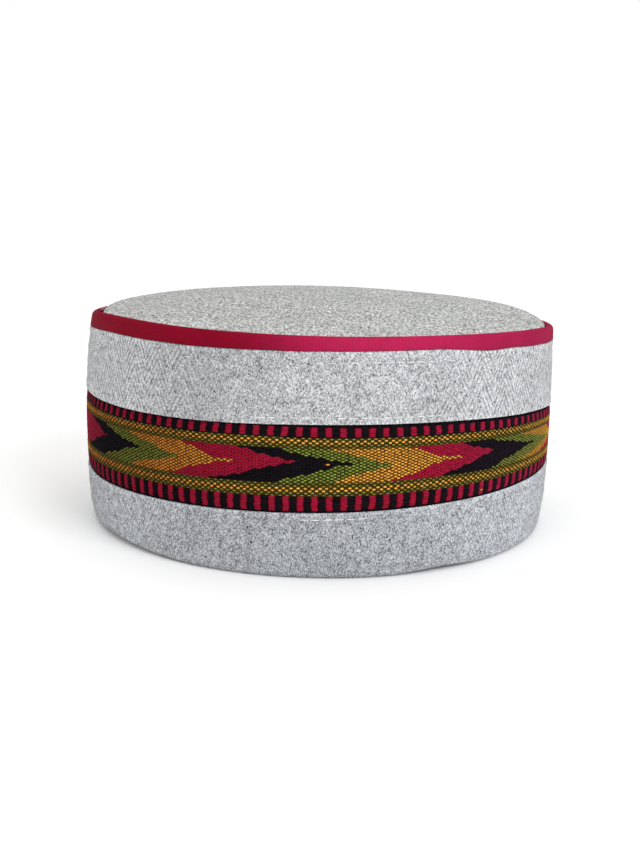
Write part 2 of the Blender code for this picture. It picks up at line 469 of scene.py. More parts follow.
def refine(outline: Array, fine: float, coarse: float, visible: float) -> Array:
    """Add stations along the long sides of a closed outline.

    Args:
        outline: Stations by angles by (depth, height).
        fine: Largest step along a side that lies at the outer face.
        coarse: Largest step along any other side.
        visible: Depth down to which a side counts as lying at the outer face.

    Returns:
        The outline with the added stations.
    """
    following = np.roll(outline, -1, 0)
    length = np.linalg.norm(following - outline, axis=-1).max(1)
    depth = np.maximum(outline[..., 0], following[..., 0]).max(1)
    counts = np.ceil(length / np.where(depth < visible, fine, coarse)).astype(int)
    counts = np.maximum(counts, 1)
    side = np.repeat(np.arange(len(outline)), counts)
    share = np.concatenate([np.arange(count) / count for count in counts])[:, None, None]
    return outline[side] * (1 - share) + following[side] * share


def link(name: str, data: bpy.types.ID) -> Piece:
    """A new object at the origin, linked to the scene.

    Args:
        name: The object's name.
        data: Its mesh, lamp or lens.

    Returns:
        The object.
    """
    piece = bpy.data.objects.new(name, data)
    bpy.context.scene.collection.objects.link(piece)
    return piece


def corner_table(rows: int, columns: int, loop_rows: bool) -> tuple[Array, Array]:
    """Vertex indices and UV indices of the quads of a grid that closes round its columns.

    Args:
        rows: Number of rows of vertices.
        columns: Number of columns of vertices.
        loop_rows: Whether the last row joins the first.

    Returns:
        Two arrays of four corners for each quad: into the vertices, and into a UV grid that
        has one more column, and one more row where the rows close.
    """
    row, column = np.meshgrid(np.arange(rows if loop_rows else rows - 1), np.arange(columns),
                              indexing="ij")
    around = ((0, 0), (0, 1), (1, 1), (1, 0))
    points = [((row + r) % rows) * columns + (column + c) % columns for r, c in around]
    uvs = [(row + r) * (columns + 1) + column + c for r, c in around]
    return np.stack(points, -1).reshape(-1, 4), np.stack(uvs, -1).reshape(-1, 4)


def fill_mesh(
    name: str, points: Array, loops: Array, sizes: Array, uv: Array | None = None,
) -> Piece:
    """Make a smooth mesh object from whole arrays, with its faces turned outwards.

    The enclosed volume is a sum over the corners of each face, and where it is negative the
    order of every face's corners is reversed.

    Args:
        name: The piece's name.
        points: Vertices.
        loops: Vertex index of every face corner, face after face.
        sizes: Number of corners of each face.
        uv: Place of every face corner on the cloth, in metres, or None.

    Returns:
        The object, linked to the scene.
    """
    starts = np.concatenate([[0], np.cumsum(sizes)[:-1]])
    a, b, c = (points[loops[starts + k]] for k in (0, 1, 2))
    volume = np.einsum("ij,ij->i", a, np.cross(b, c)).sum()
    quads = sizes == 4
    d = points[loops[starts[quads] + 3]]
    volume += np.einsum("ij,ij->i", a[quads], np.cross(c[quads], d)).sum()
    if volume < 0:
        place = np.arange(len(loops))
        face = np.repeat(np.arange(len(sizes)), sizes)
        flipped = 2 * starts[face] + sizes[face] - 1 - place
        loops = loops[flipped]
        uv = None if uv is None else uv[flipped]
    mesh = bpy.data.meshes.new(name)
    mesh.vertices.add(len(points))
    mesh.vertices.foreach_set("co", points.astype(np.float32).ravel())
    mesh.loops.add(len(loops))
    mesh.loops.foreach_set("vertex_index", loops.astype(np.int32))
    mesh.polygons.add(len(sizes))
    mesh.polygons.foreach_set("loop_start", starts.astype(np.int32))
    mesh.update(calc_edges=True)
    if uv is not None:
        layer = mesh.uv_layers.new(name=CLOTH_UV)
        layer.data.foreach_set("uv", uv.astype(np.float32).ravel())
    mesh.shade_smooth()
    return link(name, mesh)


def ring_piece(
    name: str, form: CapForm, angle: Array, outline: Array, face: CuffFace | None = None,
) -> Piece:
    """A closed section carried round the cap.

    Row k, column j of the grid is station k of the section at angle j. Its place on the cloth
    is the arc, and the length along the section, which is the height on the outer face.

    Args:
        name: The piece's name.
        form: The cap's form.
        angle: Angles of the columns, from minus half a turn, without the closing one.
        outline: Stations by angles by (depth, height).
        face: Relief for the outer face, which fades out over the lip's thickness.

    Returns:
        The piece.
    """
    depth, height = outline[..., 0], np.maximum(outline[..., 1], 0.0)
    if face is not None:
        fade = np.clip(1 - depth / form.lip, 0.0, 1.0)
        depth = depth + fade * face.relief(angle[None], height)
    points = form.place(angle[None], height, depth)
    closed = np.concatenate([outline, outline[:1]])
    steps = np.linalg.norm(np.diff(closed, axis=0), axis=-1)
    along = outline[0, :, 1] - np.concatenate([np.zeros((1, len(angle))), np.cumsum(steps, 0)])
    along = np.concatenate([along, along[:, :1]], 1)
    arc = np.append(form.arc_at(angle), form.plan[1][-1])
    uv = np.stack([np.broadcast_to(arc, along.shape), along], -1).reshape(-1, 2)
    corners, uv_corners = corner_table(len(outline), len(angle), True)
    sizes = np.full(len(corners), 4)
    return fill_mesh(name, points.reshape(-1, 3), corners.ravel(), sizes, uv[uv_corners.ravel()])


def columns_round(count: int) -> Array:
    """Equal angles round the cap, starting at the back."""
    return -math.pi + np.arange(count) * (2 * math.pi / count)


@dataclass(frozen=True)
class BeadShape:
    """A small closed shape, long in one direction, that many stitches, floats or fibres share.

    Two rings of corners stand between two end points. Along runs from -0.5 to 0.5 of the
    length, across the same of the width, and up is a share of the lift.

    Args:
        ring: Across and up of the corners of one ring.
        crest: How much each corner of a ring stands in the light, from 0 to 1.
        ring_at: Where the rings stand along the length.
        end_up: Height of the two ends.
    """

    ring: tuple[tuple[float, float], ...]
    crest: tuple[float, ...]
    ring_at: float = 0.3
    end_up: float = 0.0
    end_crest: float = 0.15

    @cached_property
    def points(self) -> Array:
        """Along, across and up of each vertex: the first end, the two rings, the last end."""
        ends = [(-0.5, 0.0, self.end_up), (0.5, 0.0, self.end_up)]
        rings = [[(at, *corner) for corner in self.ring] for at in (-self.ring_at, self.ring_at)]
        return np.array([ends[0], *rings[0], *rings[1], ends[1]])

    @cached_property
    def crests(self) -> Array:
        """How much each vertex stands in the light."""
        return np.array([self.end_crest, *self.crest, *self.crest, self.end_crest])

    @cached_property
    def triangles(self) -> Array:
        """Two fans at the ends and two triangles for each side between the rings.

        Returns:
            Three vertex indices for each triangle.
        """
        count = len(self.ring)
        k = np.arange(count)
        following = (k + 1) % count
        first, second, last = 1 + k, 1 + count + k, 1 + 2 * count
        first_next, second_next = 1 + following, 1 + count + following
        zero = np.zeros_like(k)
        fans = [(zero, first_next, first), (zero + last, second, second_next)]
        sides = [(first, first_next, second_next), (first, second_next, second)]
        return np.concatenate([np.stack(t, -1) for t in fans + sides])


PILLOW = BeadShape(
    ring=((-0.5, 0.0), (-0.27, 0.8), (0.27, 0.8), (0.5, 0.0), (0.0, -0.5)),
    crest=(0.35, 1.0, 1.0, 0.35, 0.0),
)
HAIR = BeadShape(
    ring=((-0.5, -0.3), (0.5, -0.3), (0.0, 0.6)), crest=(0.8, 0.8, 0.8), end_crest=0.8,
)


@dataclass
class Beads:
    """Where many small shapes lie on a surface, one entry of each array for each.

    Args:
        arc: Places round the surface.
        rise: Places up the surface.
        length: Lengths.
        width: Widths.
        lift: Heights.
        lean: Turn of the length away from the arc, in radians.
        bow: Sideways bend of the middle against the ends, as a share of the length.
        hop: How far the middle stands off the surface.
    """

    arc: Array
    rise: Array
    length: Array | float
    width: Array | float
    lift: Array | float
    lean: Array | float = 0.0
    bow: Array | float = 0.0
    hop: Array | float = 0.0

    def laid(self, name: str, shape: BeadShape, surface: Surface, shade: Array) -> Piece:
        """Lay a copy of the shape at each place and join them into one mesh.

        Each vertex goes to along * length and across * width plus the bow, turned by the
        lean, on the surface, at up * lift plus the hop.

        Args:
            name: The piece's name.
            shape: The shape to repeat.
            surface: Places points from arc, rise and lift.
            shade: A number from 0 to 1 for each shape, kept for the material.

        Returns:
            The piece, with attributes shade and crest.
        """
        count = len(self.arc)
        spread = [np.broadcast_to(value, count)[:, None] for value in
                  (self.length, self.width, self.lift, self.lean, self.bow, self.hop)]
        length, width, lift, lean, bow, hop = spread
        along, across, up = shape.points.T
        curve = 1 - (2 * along[None]) ** 2
        x = along[None] * length
        y = across[None] * width + bow * length * curve
        arc = self.arc[:, None] + x * np.cos(lean) - y * np.sin(lean)
        rise = self.rise[:, None] + x * np.sin(lean) + y * np.cos(lean)
        points = surface(arc, rise, up[None] * lift + hop * curve)
        step = len(along)
        faces = shape.triangles[None] + step * np.arange(count)[:, None, None]
        loops = faces.reshape(-1)
        piece = fill_mesh(name, points.reshape(-1, 3), loops, np.full(len(loops) // 3, 3))
        keep(piece, "shade", np.repeat(shade, step))
        keep(piece, "crest", np.tile(shape.crests, count))
        return piece


def keep(piece: Piece, name: str, values: Array) -> None:
    """Store a number or a colour for each vertex, under a name that the material reads.

    Args:
        piece: The piece.
        name: The attribute's name.
        values: One row for each vertex.
    """
    kind, part = ("FLOAT", "value") if values.ndim == 1 else ("FLOAT_COLOR", "color")
    attribute = piece.data.attributes.new(name, kind, "POINT")
    attribute.data.foreach_set(part, values.astype(np.float32).ravel())


class Recipe:
    """A material being mixed, with short ways to add nodes and join them."""

    def __init__(
        self, name: str, roughness: float, sheen: float = 0.0, specular: float = 0.1,
    ) -> None:
        """Start a material with one Principled shader.

        Args:
            name: The material's name.
            roughness: Roughness of the shader.
            sheen: Weight of the soft sheen of loose fibres.
            specular: Level of the shader's gloss.
        """
        self.material = bpy.data.materials.new(name)
        self.material.use_nodes = True
        self.tree = self.material.node_tree
        self.shader = self.tree.nodes["Principled BSDF"]
        self.shader.inputs["Roughness"].default_value = roughness
        self.shader.inputs["Specular IOR Level"].default_value = specular
        self.shader.inputs["Sheen Weight"].default_value = sheen
        self.shader.inputs["Sheen Roughness"].default_value = 0.5

    def node(self, kind: str, inputs: dict[str | int, object], **settings: str) -> bpy.types.Node:
        """Add a node, with its settings, and feed its named or numbered inputs.

        Args:
            kind: The node's type.
            inputs: A value or socket for each input.
            settings: The node's own properties.

        Returns:
            The node.
        """
        node = self.tree.nodes.new(kind)
        for name, value in settings.items():
            setattr(node, name, value)
        for socket, value in inputs.items():
            self.feed(node.inputs[socket], value)
        return node

    def feed(self, socket: Socket, value: object) -> None:
        """Join a socket to another one, or set its value.

        Args:
            socket: The input.
            value: The socket or value that it takes.
        """
        if isinstance(value, Socket):
            self.tree.links.new(value, socket)
        else:
            socket.default_value = value

    def maths(self, operation: str, *values: object) -> Socket:
        """A Math node on up to three values or sockets."""
        return self.node("ShaderNodeMath", dict(enumerate(values)), operation=operation).outputs[0]

    def times(self, *values: object) -> Socket:
        """The product of two values or sockets."""
        return self.maths("MULTIPLY", *values)

    def over(self, value: object, size: float) -> Socket:
        """A value counted in units of a size."""
        return self.maths("DIVIDE", value, size)

    def tipped(self, value: object, factor: float, base: object) -> Socket:
        """A base plus a factor times a value."""
        return self.maths("MULTIPLY_ADD", value, factor, base)

    def split(self, vector: Socket) -> Sequence[Socket]:
        """The x, y and z of a vector."""
        return self.node("ShaderNodeSeparateXYZ", {0: vector}).outputs

    def cloth_mm(self) -> tuple[Socket, Socket]:
        """The piece's own place on its cloth, in millimetres: across and along."""
        across, along, _ = self.split(self.node("ShaderNodeUVMap", {}, uv_map=CLOTH_UV).outputs[0])
        return self.times(across, 1000), self.times(along, 1000)

    def object_mm(self) -> Socket:
        """Object coordinates, in millimetres."""
        return self.scaled(self.node("ShaderNodeTexCoord", {}).outputs["Object"], 1000)

    def vector(self, *parts: object) -> Socket:
        """A vector from up to three values or sockets."""
        return self.node("ShaderNodeCombineXYZ", dict(enumerate(parts))).outputs[0]

    def noise(self, vector: Socket, scale: float, detail: float = 2.0,
              distortion: float = 0.0) -> Socket:
        """A noise texture's value."""
        inputs = {"Vector": vector, "Scale": scale, "Detail": detail, "Distortion": distortion}
        return self.node("ShaderNodeTexNoise", inputs).outputs["Fac"]

    def between(self, value: object, low: float, high: float, first: float = 0.0,
                last: float = 1.0) -> Socket:
        """A smooth step of a value from low to high, giving first to last.

        Args:
            value: The value.
            low: Where the step starts.
            high: Where it ends.
            first: Result below the step.
            last: Result above it.

        Returns:
            The result.
        """
        inputs = {"Value": value, "From Min": low, "From Max": high, "To Min": first,
                  "To Max": last}
        node = self.node("ShaderNodeMapRange", inputs, interpolation_type="SMOOTHSTEP")
        return node.outputs[0]

    def varied(self, noise: Socket, low: float, high: float) -> Socket:
        """A brightness that follows a noise from low to high."""
        return self.between(noise, 0.3, 0.7, low, high)

    def mix(self, share: object, low: object, high: object, blend: str = "MIX") -> Socket:
        """Two colours mixed by a share.

        Args:
            share: Share of the second one.
            low: First colour.
            high: Second colour.
            blend: How the node blends them.

        Returns:
            The mixed colour.
        """
        node = self.node("ShaderNodeMix", {}, data_type="RGBA", blend_type=blend)
        sockets = [s for s in node.inputs if s.enabled]
        for socket, value in zip(sockets, (share, low, high)):
            self.feed(socket, (*value, 1.0) if isinstance(value, tuple) else value)
        return next(s for s in node.outputs if s.enabled)

    def scaled(self, colour: Socket, factor: object) -> Socket:
        """A colour or a vector times a number."""
        inputs = {0: colour, "Scale": factor}
        return self.node("ShaderNodeVectorMath", inputs, operation="SCALE").outputs[0]

    def attribute(self, name: str, part: str = "Fac") -> Socket:
        """A number or a colour that the mesh keeps at its vertices."""
        return self.node("ShaderNodeAttribute", {}, attribute_name=name).outputs[part]

    def finish(self, colour: Socket, height: Socket, depth: float,
               strength: float = 1.0) -> Material:
        """Give the shader its colour and bump.

        Args:
            colour: Base colour.
            height: Height of the fine relief, from 0 to 1.
            depth: Depth of the relief, in metres.
            strength: How much of the relief shows.

        Returns:
            The material.
        """
        self.feed(self.shader.inputs["Base Color"], colour)
        inputs = {"Distance": depth, "Strength": strength, "Height": height}
        bump = self.node("ShaderNodeBump", inputs)
        self.feed(self.shader.inputs["Normal"], bump.outputs[0])
        return self.material


@dataclass(frozen=True)
class WoolFinish:
    """Melange wool: short dark and white flecks in grey, with or without a herringbone twill.

    Args:
        name: The material's name.
        mid: The wool's darker grey.
        pale: Its paler fibres.
        dark: Its dark flecks.
        white: Its white flecks.
        tone: Brightness of the whole cloth; the lower strip's lower value is painted shade.
        herringbone: How strongly the twill shows at the sides, from 0 to 1.
        worn: Share of the twill that still shows at the front, where the nap hides it.
        worn_between: Where the twill starts to clear and where it is clear, in mm of arc.
        column: Width of one herringbone column, in mm.
        period: Distance up the cloth from one twill line to the next, in mm.
        slope: Steepness of the twill lines.
        fleck: Width and length of the cells that the flecks are drawn from, in mm.
        step: Set-off of the noise from one herringbone column to the next.
    """

    name: str
    mid: Colour = (0.225, 0.23, 0.242)
    pale: Colour = (0.57, 0.575, 0.59)
    dark: Colour = (0.05, 0.053, 0.062)
    white: Colour = (0.93, 0.93, 0.94)
    tone: float = 1.0
    herringbone: float = 1.0
    worn: float = 0.3
    worn_between: tuple[float, float] = (30.0, 80.0)
    column: float = 6.5
    period: float = 3.6
    slope: float = 1.8
    fleck: tuple[float, float] = (0.42, 0.95)
    dark_share: float = 0.85
    white_share: float = 0.7
    step: float = 7.3

    def material(self) -> Material:
        """Build the node tree.

        The twill's phase is the place up the cloth plus a zigzag of the place across it. The
        greys are noise in cells that lie along the twill lines, anew in each column, and the
        twill tips their thresholds and those of the specks. The mesh keeps a tone of its own,
        which carries painted light and shade on the cuff and the crown.

        Returns:
            The material.
        """
        mix = Recipe(self.name, roughness=0.95, sheen=0.03)
        across, along = mix.cloth_mm()
        plain = mix.vector(across, along)
        zigzag = mix.maths("PINGPONG", across, self.column)
        lean = mix.tipped(zigzag, self.slope, along)
        wave = mix.maths("SINE", mix.times(lean, 2 * math.pi / self.period))
        sideways = mix.maths("ABSOLUTE", across)
        worn = self.worn * self.herringbone
        clear = mix.between(sideways, *self.worn_between, worn, self.herringbone)
        twill = mix.times(wave, clear)
        wide, tall = self.fleck
        specks = cells = mix.vector(mix.over(across, wide), mix.over(along, tall))
        if self.herringbone:
            specks = mix.vector(mix.over(across, wide), mix.over(along, 1.5 * wide))
            steep = math.hypot(1.0, self.slope)
            down = mix.tipped(along, -self.slope, zigzag)
            column = mix.maths("FLOOR", mix.over(across, self.column))
            cells = mix.vector(mix.over(lean, wide * steep), mix.over(down, tall * steep),
                               mix.times(column, self.step))
        patches = mix.noise(plain, 0.055)
        clumps = mix.noise(plain, 0.35, detail=1.0)
        body = mix.noise(cells, 1.0, distortion=0.4)
        darks = mix.noise(specks, 0.85, distortion=0.5)
        whites = mix.noise(specks, 1.1, detail=1.0, distortion=0.6)
        fibres = mix.noise(plain, 4.5, detail=3.0, distortion=1.5)
        share = mix.between(mix.tipped(twill, 0.055, body), 0.36, 0.64)
        colour = mix.mix(share, self.mid, self.pale)
        dark_mask = mix.tipped(twill, -0.04, mix.tipped(clumps, 0.40, darks))
        dark_mask = mix.between(dark_mask, 0.78, 0.88, 0.0, self.dark_share)
        colour = mix.mix(dark_mask, colour, self.dark)
        white_mask = mix.tipped(twill, 0.05, whites)
        white_mask = mix.between(white_mask, 0.58, 0.70, 0.0, self.white_share)
        colour = mix.mix(white_mask, colour, self.white)
        tone = mix.varied(patches, 0.93 * self.tone, 1.07 * self.tone)
        tone = mix.times(tone, mix.varied(fibres, 0.92, 1.08))
        tone = mix.times(tone, mix.varied(clumps, 1.08, 0.92))
        tone = mix.times(tone, mix.attribute("tone"))
        relief = mix.tipped(twill, 0.15, mix.times(fibres, 0.35))
        relief = mix.tipped(body, 0.4, relief)
        return mix.finish(mix.scaled(colour, tone), relief, 0.35 * MM, 0.7)


@dataclass(frozen=True)
class YarnFinish:
    """Weft yarn: painted highlight on its crests, painted shade where it dives, a little different
    float by float.

    Args:
        name: The material's name.
        crest: Colour of a float's crest.
        foot: Colour where it dives, as painted shade.
        spread: How much the floats differ in brightness.
        left: What the colours are multiplied by on the left side of the cap, as painted shade.
        right: The same on the right side, as painted light.
    """

    name: str
    crest: Colour
    foot: Colour
    spread: float = 0.2
    left: Colour = (0.70, 0.60, 0.70)
    right: Colour = (1.0, 0.92, 1.1)

    def material(self) -> Material:
        """Build the node tree: the crest attribute mixes painted highlight and painted shade,
        painted light and shade change them from left to right, and the shade scales them.

        Returns:
            The material.
        """
        mix = Recipe(self.name, roughness=0.9, specular=0.04)
        place = mix.object_mm()
        across = mix.split(place)[0]
        # Painted shade where each float dives into the ground, painted highlight on its crest.
        colour = mix.mix(mix.between(mix.attribute("crest"), 0.0, 1.0), self.foot, self.crest)
        # Painted shade on the left side of the cap, painted light on the right.
        side = mix.mix(mix.between(across, -65.0, 0.0), self.left, (1.0, 1.0, 1.0))
        side = mix.mix(mix.between(across, 30.0, 90.0), side, self.right)
        colour = mix.mix(1.0, colour, side, "MULTIPLY")
        tone = mix.between(mix.attribute("shade"), 0.0, 1.0, 1 - self.spread, 1 + self.spread)
        fibres = mix.noise(place, 5.0, distortion=1.0)
        tone = mix.times(tone, mix.varied(fibres, 0.8, 1.2))
        return mix.finish(mix.scaled(colour, tone), fibres, 0.12 * MM, 0.6)


@dataclass(frozen=True)
class GroundFinish:
    """The band's warp and the yarn behind it: the chart's colours, dimmed, kept as an attribute."""

    name: str

    def material(self) -> Material:
        """Build the node tree.

        Returns:
            The material.
        """
        mix = Recipe(self.name, roughness=0.95, specular=0.02)
        threads = mix.noise(mix.object_mm(), 2.5)
        colour = mix.scaled(mix.attribute("tint", "Color"), mix.varied(threads, 0.7, 1.3))
        return mix.finish(colour, threads, 0.15 * MM, 0.6)


@dataclass(frozen=True)
class BindingFinish:
    """Ribbed crimson cotton, with painted shade on the left side of the cap and painted light in
    the middle and on the right.
    """

    name: str
    left: Colour = (0.205, 0.0015, 0.015)
    middle: Colour = (0.40, 0.014, 0.072)
    right: Colour = (0.31, 0.009, 0.052)
    groove: float = 0.82

    def material(self) -> Material:
        """Build the node tree: painted light and shade along X, painted shade in the grooves and a
        painted highlight on the ribs, and slight fading.

        Returns:
            The material.
        """
        mix = Recipe(self.name, roughness=0.75, specular=0.05)
        place = mix.object_mm()
        across = mix.split(place)[0]
        # Painted light and shade: darkest on the left side of the cap, brightest in the middle.
        colour = mix.mix(mix.between(across, -35.0, 15.0), self.left, self.middle)
        colour = mix.mix(mix.between(across, 35.0, 90.0), colour, self.right)
        fading = mix.noise(place, 0.12)
        threads = mix.noise(place, 3.5, distortion=0.5)
        tone = mix.times(mix.varied(fading, 0.95, 1.05), mix.varied(threads, 0.88, 1.12))
        # Painted shade in the grooves between the ribs and a painted highlight on the ribs.
        groove = mix.between(mix.attribute("crest"), 0.0, 1.0, self.groove, 1.1)
        return mix.finish(mix.scaled(colour, mix.times(tone, groove)), threads, 0.1 * MM, 0.5)


@dataclass(frozen=True)
class ThreadFinish:
    """Sewing thread or a loose fibre, between two shades."""

    name: str
    pale: Colour
    dark: Colour

    def material(self) -> Material:
        """Build the node tree: the shade attribute mixes the two colours.

        Returns:
            The material.
        """
        mix = Recipe(self.name, roughness=0.8, sheen=0.1)
        fibres = mix.noise(mix.object_mm(), 6.0)
        colour = mix.mix(mix.between(mix.attribute("shade"), 0.0, 1.0), self.dark, self.pale)
        return mix.finish(colour, fibres, 0.05 * MM, 0.4)


def dress(piece: Piece, material: Material, slot: Slot, *nodes: str) -> None:
    """Give a piece its material and its body, and hide the solids that it stands for.

    Args:
        piece: The finished piece.
        material: Its material.
        slot: The record's slot; not used.
        nodes: Names of the solids that it replaces.
    """
    piece.data.materials.append(material)
    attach(piece, BODY)
    if nodes:
        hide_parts(*nodes)
    piece.data.calc_loop_triangles()
    log.info("%s: %d triangles, %s", piece.name, len(piece.data.loop_triangles), material.name)


@dataclass
class Cuff:
    """The two strips of wool above and below the band."""

    form: CapForm
    face: CuffFace
    columns: int = 800
    fine: float = 1.3 * MM
    coarse: float = 9.0 * MM
    corner: float = 0.4 * MM
    hem_height: float = 14.0 * MM
    tongue_top_drop: float = 1.9 * MM
    bend_height: float = 8.0 * MM
    fold_steps: tuple[int, int] = (8, 4)
    at_face: float = 0.05 * MM
    painted_edge_highlight: float = 0.15
    painted_edge_highlight_width: float = 1.2 * MM
    painted_light_columns: tuple[str, ...] = ("arc in mm", "reach in mm", "gain")
    # Painted light and shade: each row brightens or darkens the wool in a Gaussian round the cap,
    # as more or less light falls there.
    lower_painted_light: tuple[tuple[float, ...], ...] = ((-95, 45, 0.24), (95, 55, 0.32))
    upper_painted_light: tuple[tuple[float, ...], ...] = (
        (-110, 25, 0.08), (-40, 24, -0.15), (105, 45, 0.09),
    )
    # Painted shade: tone 0.765 darkens the whole lower strip, which gets less light than the upper
    # strip.
    lower_wool: WoolFinish = WoolFinish(
        "lower_melange_herringbone", mid=(0.205, 0.217, 0.238), pale=(0.57, 0.588, 0.625),
        tone=0.765, herringbone=0.45, dark_share=0.95, white_share=0.85,
    )
    upper_wool: WoolFinish = WoolFinish("upper_melange_herringbone")

    def lower_outline(self, angle: Array) -> Array:
        """Section of the strip below the band: outer face, rim fold, hem, inner face, lip.

        Args:
            angle: Angles round the cap.

        Returns:
            Stations by angles by (depth, height).
        """
        form = self.form
        lip_top = form.edge(Edge.BAND_BOTTOM, angle)
        shelf = form.edge(Edge.WEAVE_MIDDLE, angle) - form.weave_half_width - form.gap
        hem_depth = 2 * form.fold_radius
        centre = (form.fold_radius, form.fold_centre)
        stations = [station(angle, 0.0, lip_top), station(angle, 0.0, self.bend_height)]
        stations += arc_stations(angle, centre, form.fold_radius, 0, -180, self.fold_steps[0])
        stations += [station(angle, hem_depth, self.hem_height)]
        stations += [station(angle, hem_depth - form.cloth, self.hem_height)]
        inner_radius = form.fold_radius - form.cloth
        stations += arc_stations(angle, centre, inner_radius, -180, 0, self.fold_steps[1])
        stations += [station(angle, depth, height) for depth, height in (
            (form.cloth, self.bend_height), (form.cloth, shelf), (form.lip, shelf),
            (form.lip, lip_top),
        )]
        return self.finished(np.stack(stations))

    def upper_outline(self, angle: Array) -> Array:
        """Section of the strip above the band: tongue, outer face, lip, inner face.

        Args:
            angle: Angles round the cap.

        Returns:
            Stations by angles by (depth, height).
        """
        form = self.form
        lip_bottom = form.edge(Edge.BAND_TOP, angle)
        shelf = form.edge(Edge.WEAVE_MIDDLE, angle) + form.weave_half_width + form.gap
        step = form.binding_bottom(angle) - form.gap
        tongue_outer = form.binding + form.gap - form.binding_proud
        tongue_top = form.edge(Edge.CUFF_TOP, angle) - self.tongue_top_drop
        rows = (
            (tongue_outer, tongue_top), (tongue_outer, step), (0.0, step), (0.0, lip_bottom),
            (form.lip, lip_bottom), (form.lip, shelf), (form.cloth, shelf), (form.cloth, step),
            (form.tongue_inner, step + form.gap), (form.tongue_inner, tongue_top),
        )
        return self.finished(np.stack([station(angle, depth, height) for depth, height in rows]))

    def finished(self, outline: Array) -> Array:
        """The outline with rounded corners and enough rows for the relief."""
        rounded = round_corners(outline, self.corner)
        return refine(rounded, self.fine, self.coarse, self.at_face)

    def tone(self, angle: Array, height: Array, painted_light: tuple[tuple[float, ...], ...]) -> Array:
        """Brightness of the wool: painted light and shade in Gaussians round the cap, and a painted
        highlight along folded edges.

        Args:
            angle: Angles of the columns.
            height: Heights of the stations.
            painted_light: Rows as in painted_light_columns.

        Returns:
            The brightness at each vertex, 1 where nothing changes it.
        """
        arc = self.form.arc_at(angle) / MM
        tone = 1 + sum(gain * bell(arc, at, reach) for at, reach, gain in painted_light)
        edges = (self.form.binding_bottom(angle), self.form.edge(Edge.BAND_TOP, angle),
                 self.form.edge(Edge.BAND_BOTTOM, angle))
        # Painted highlight: the wool is made paler along each folded edge, where the rounded fold
        # catches the light.
        nap = sum(bell(height, edge, self.painted_edge_highlight_width) for edge in edges)
        return (tone * (1 + self.painted_edge_highlight * nap)).ravel()

    def build(self) -> None:
        """Make and dress the two strips."""
        angle = columns_round(self.columns)
        strips = (
            ("lower_strip", self.lower_outline, self.lower_wool, self.lower_painted_light),
            ("upper_strip", self.upper_outline, self.upper_wool, self.upper_painted_light),
        )
        for name, section, wool, painted_light in strips:
            outline = section(angle)
            piece = ring_piece(f"{name}_wool", self.form, angle, outline, self.face)
            keep(piece, "tone", self.tone(angle, outline[..., 1], painted_light))
            dress(piece, wool.material(), Slot.GREY_WOOL, name)


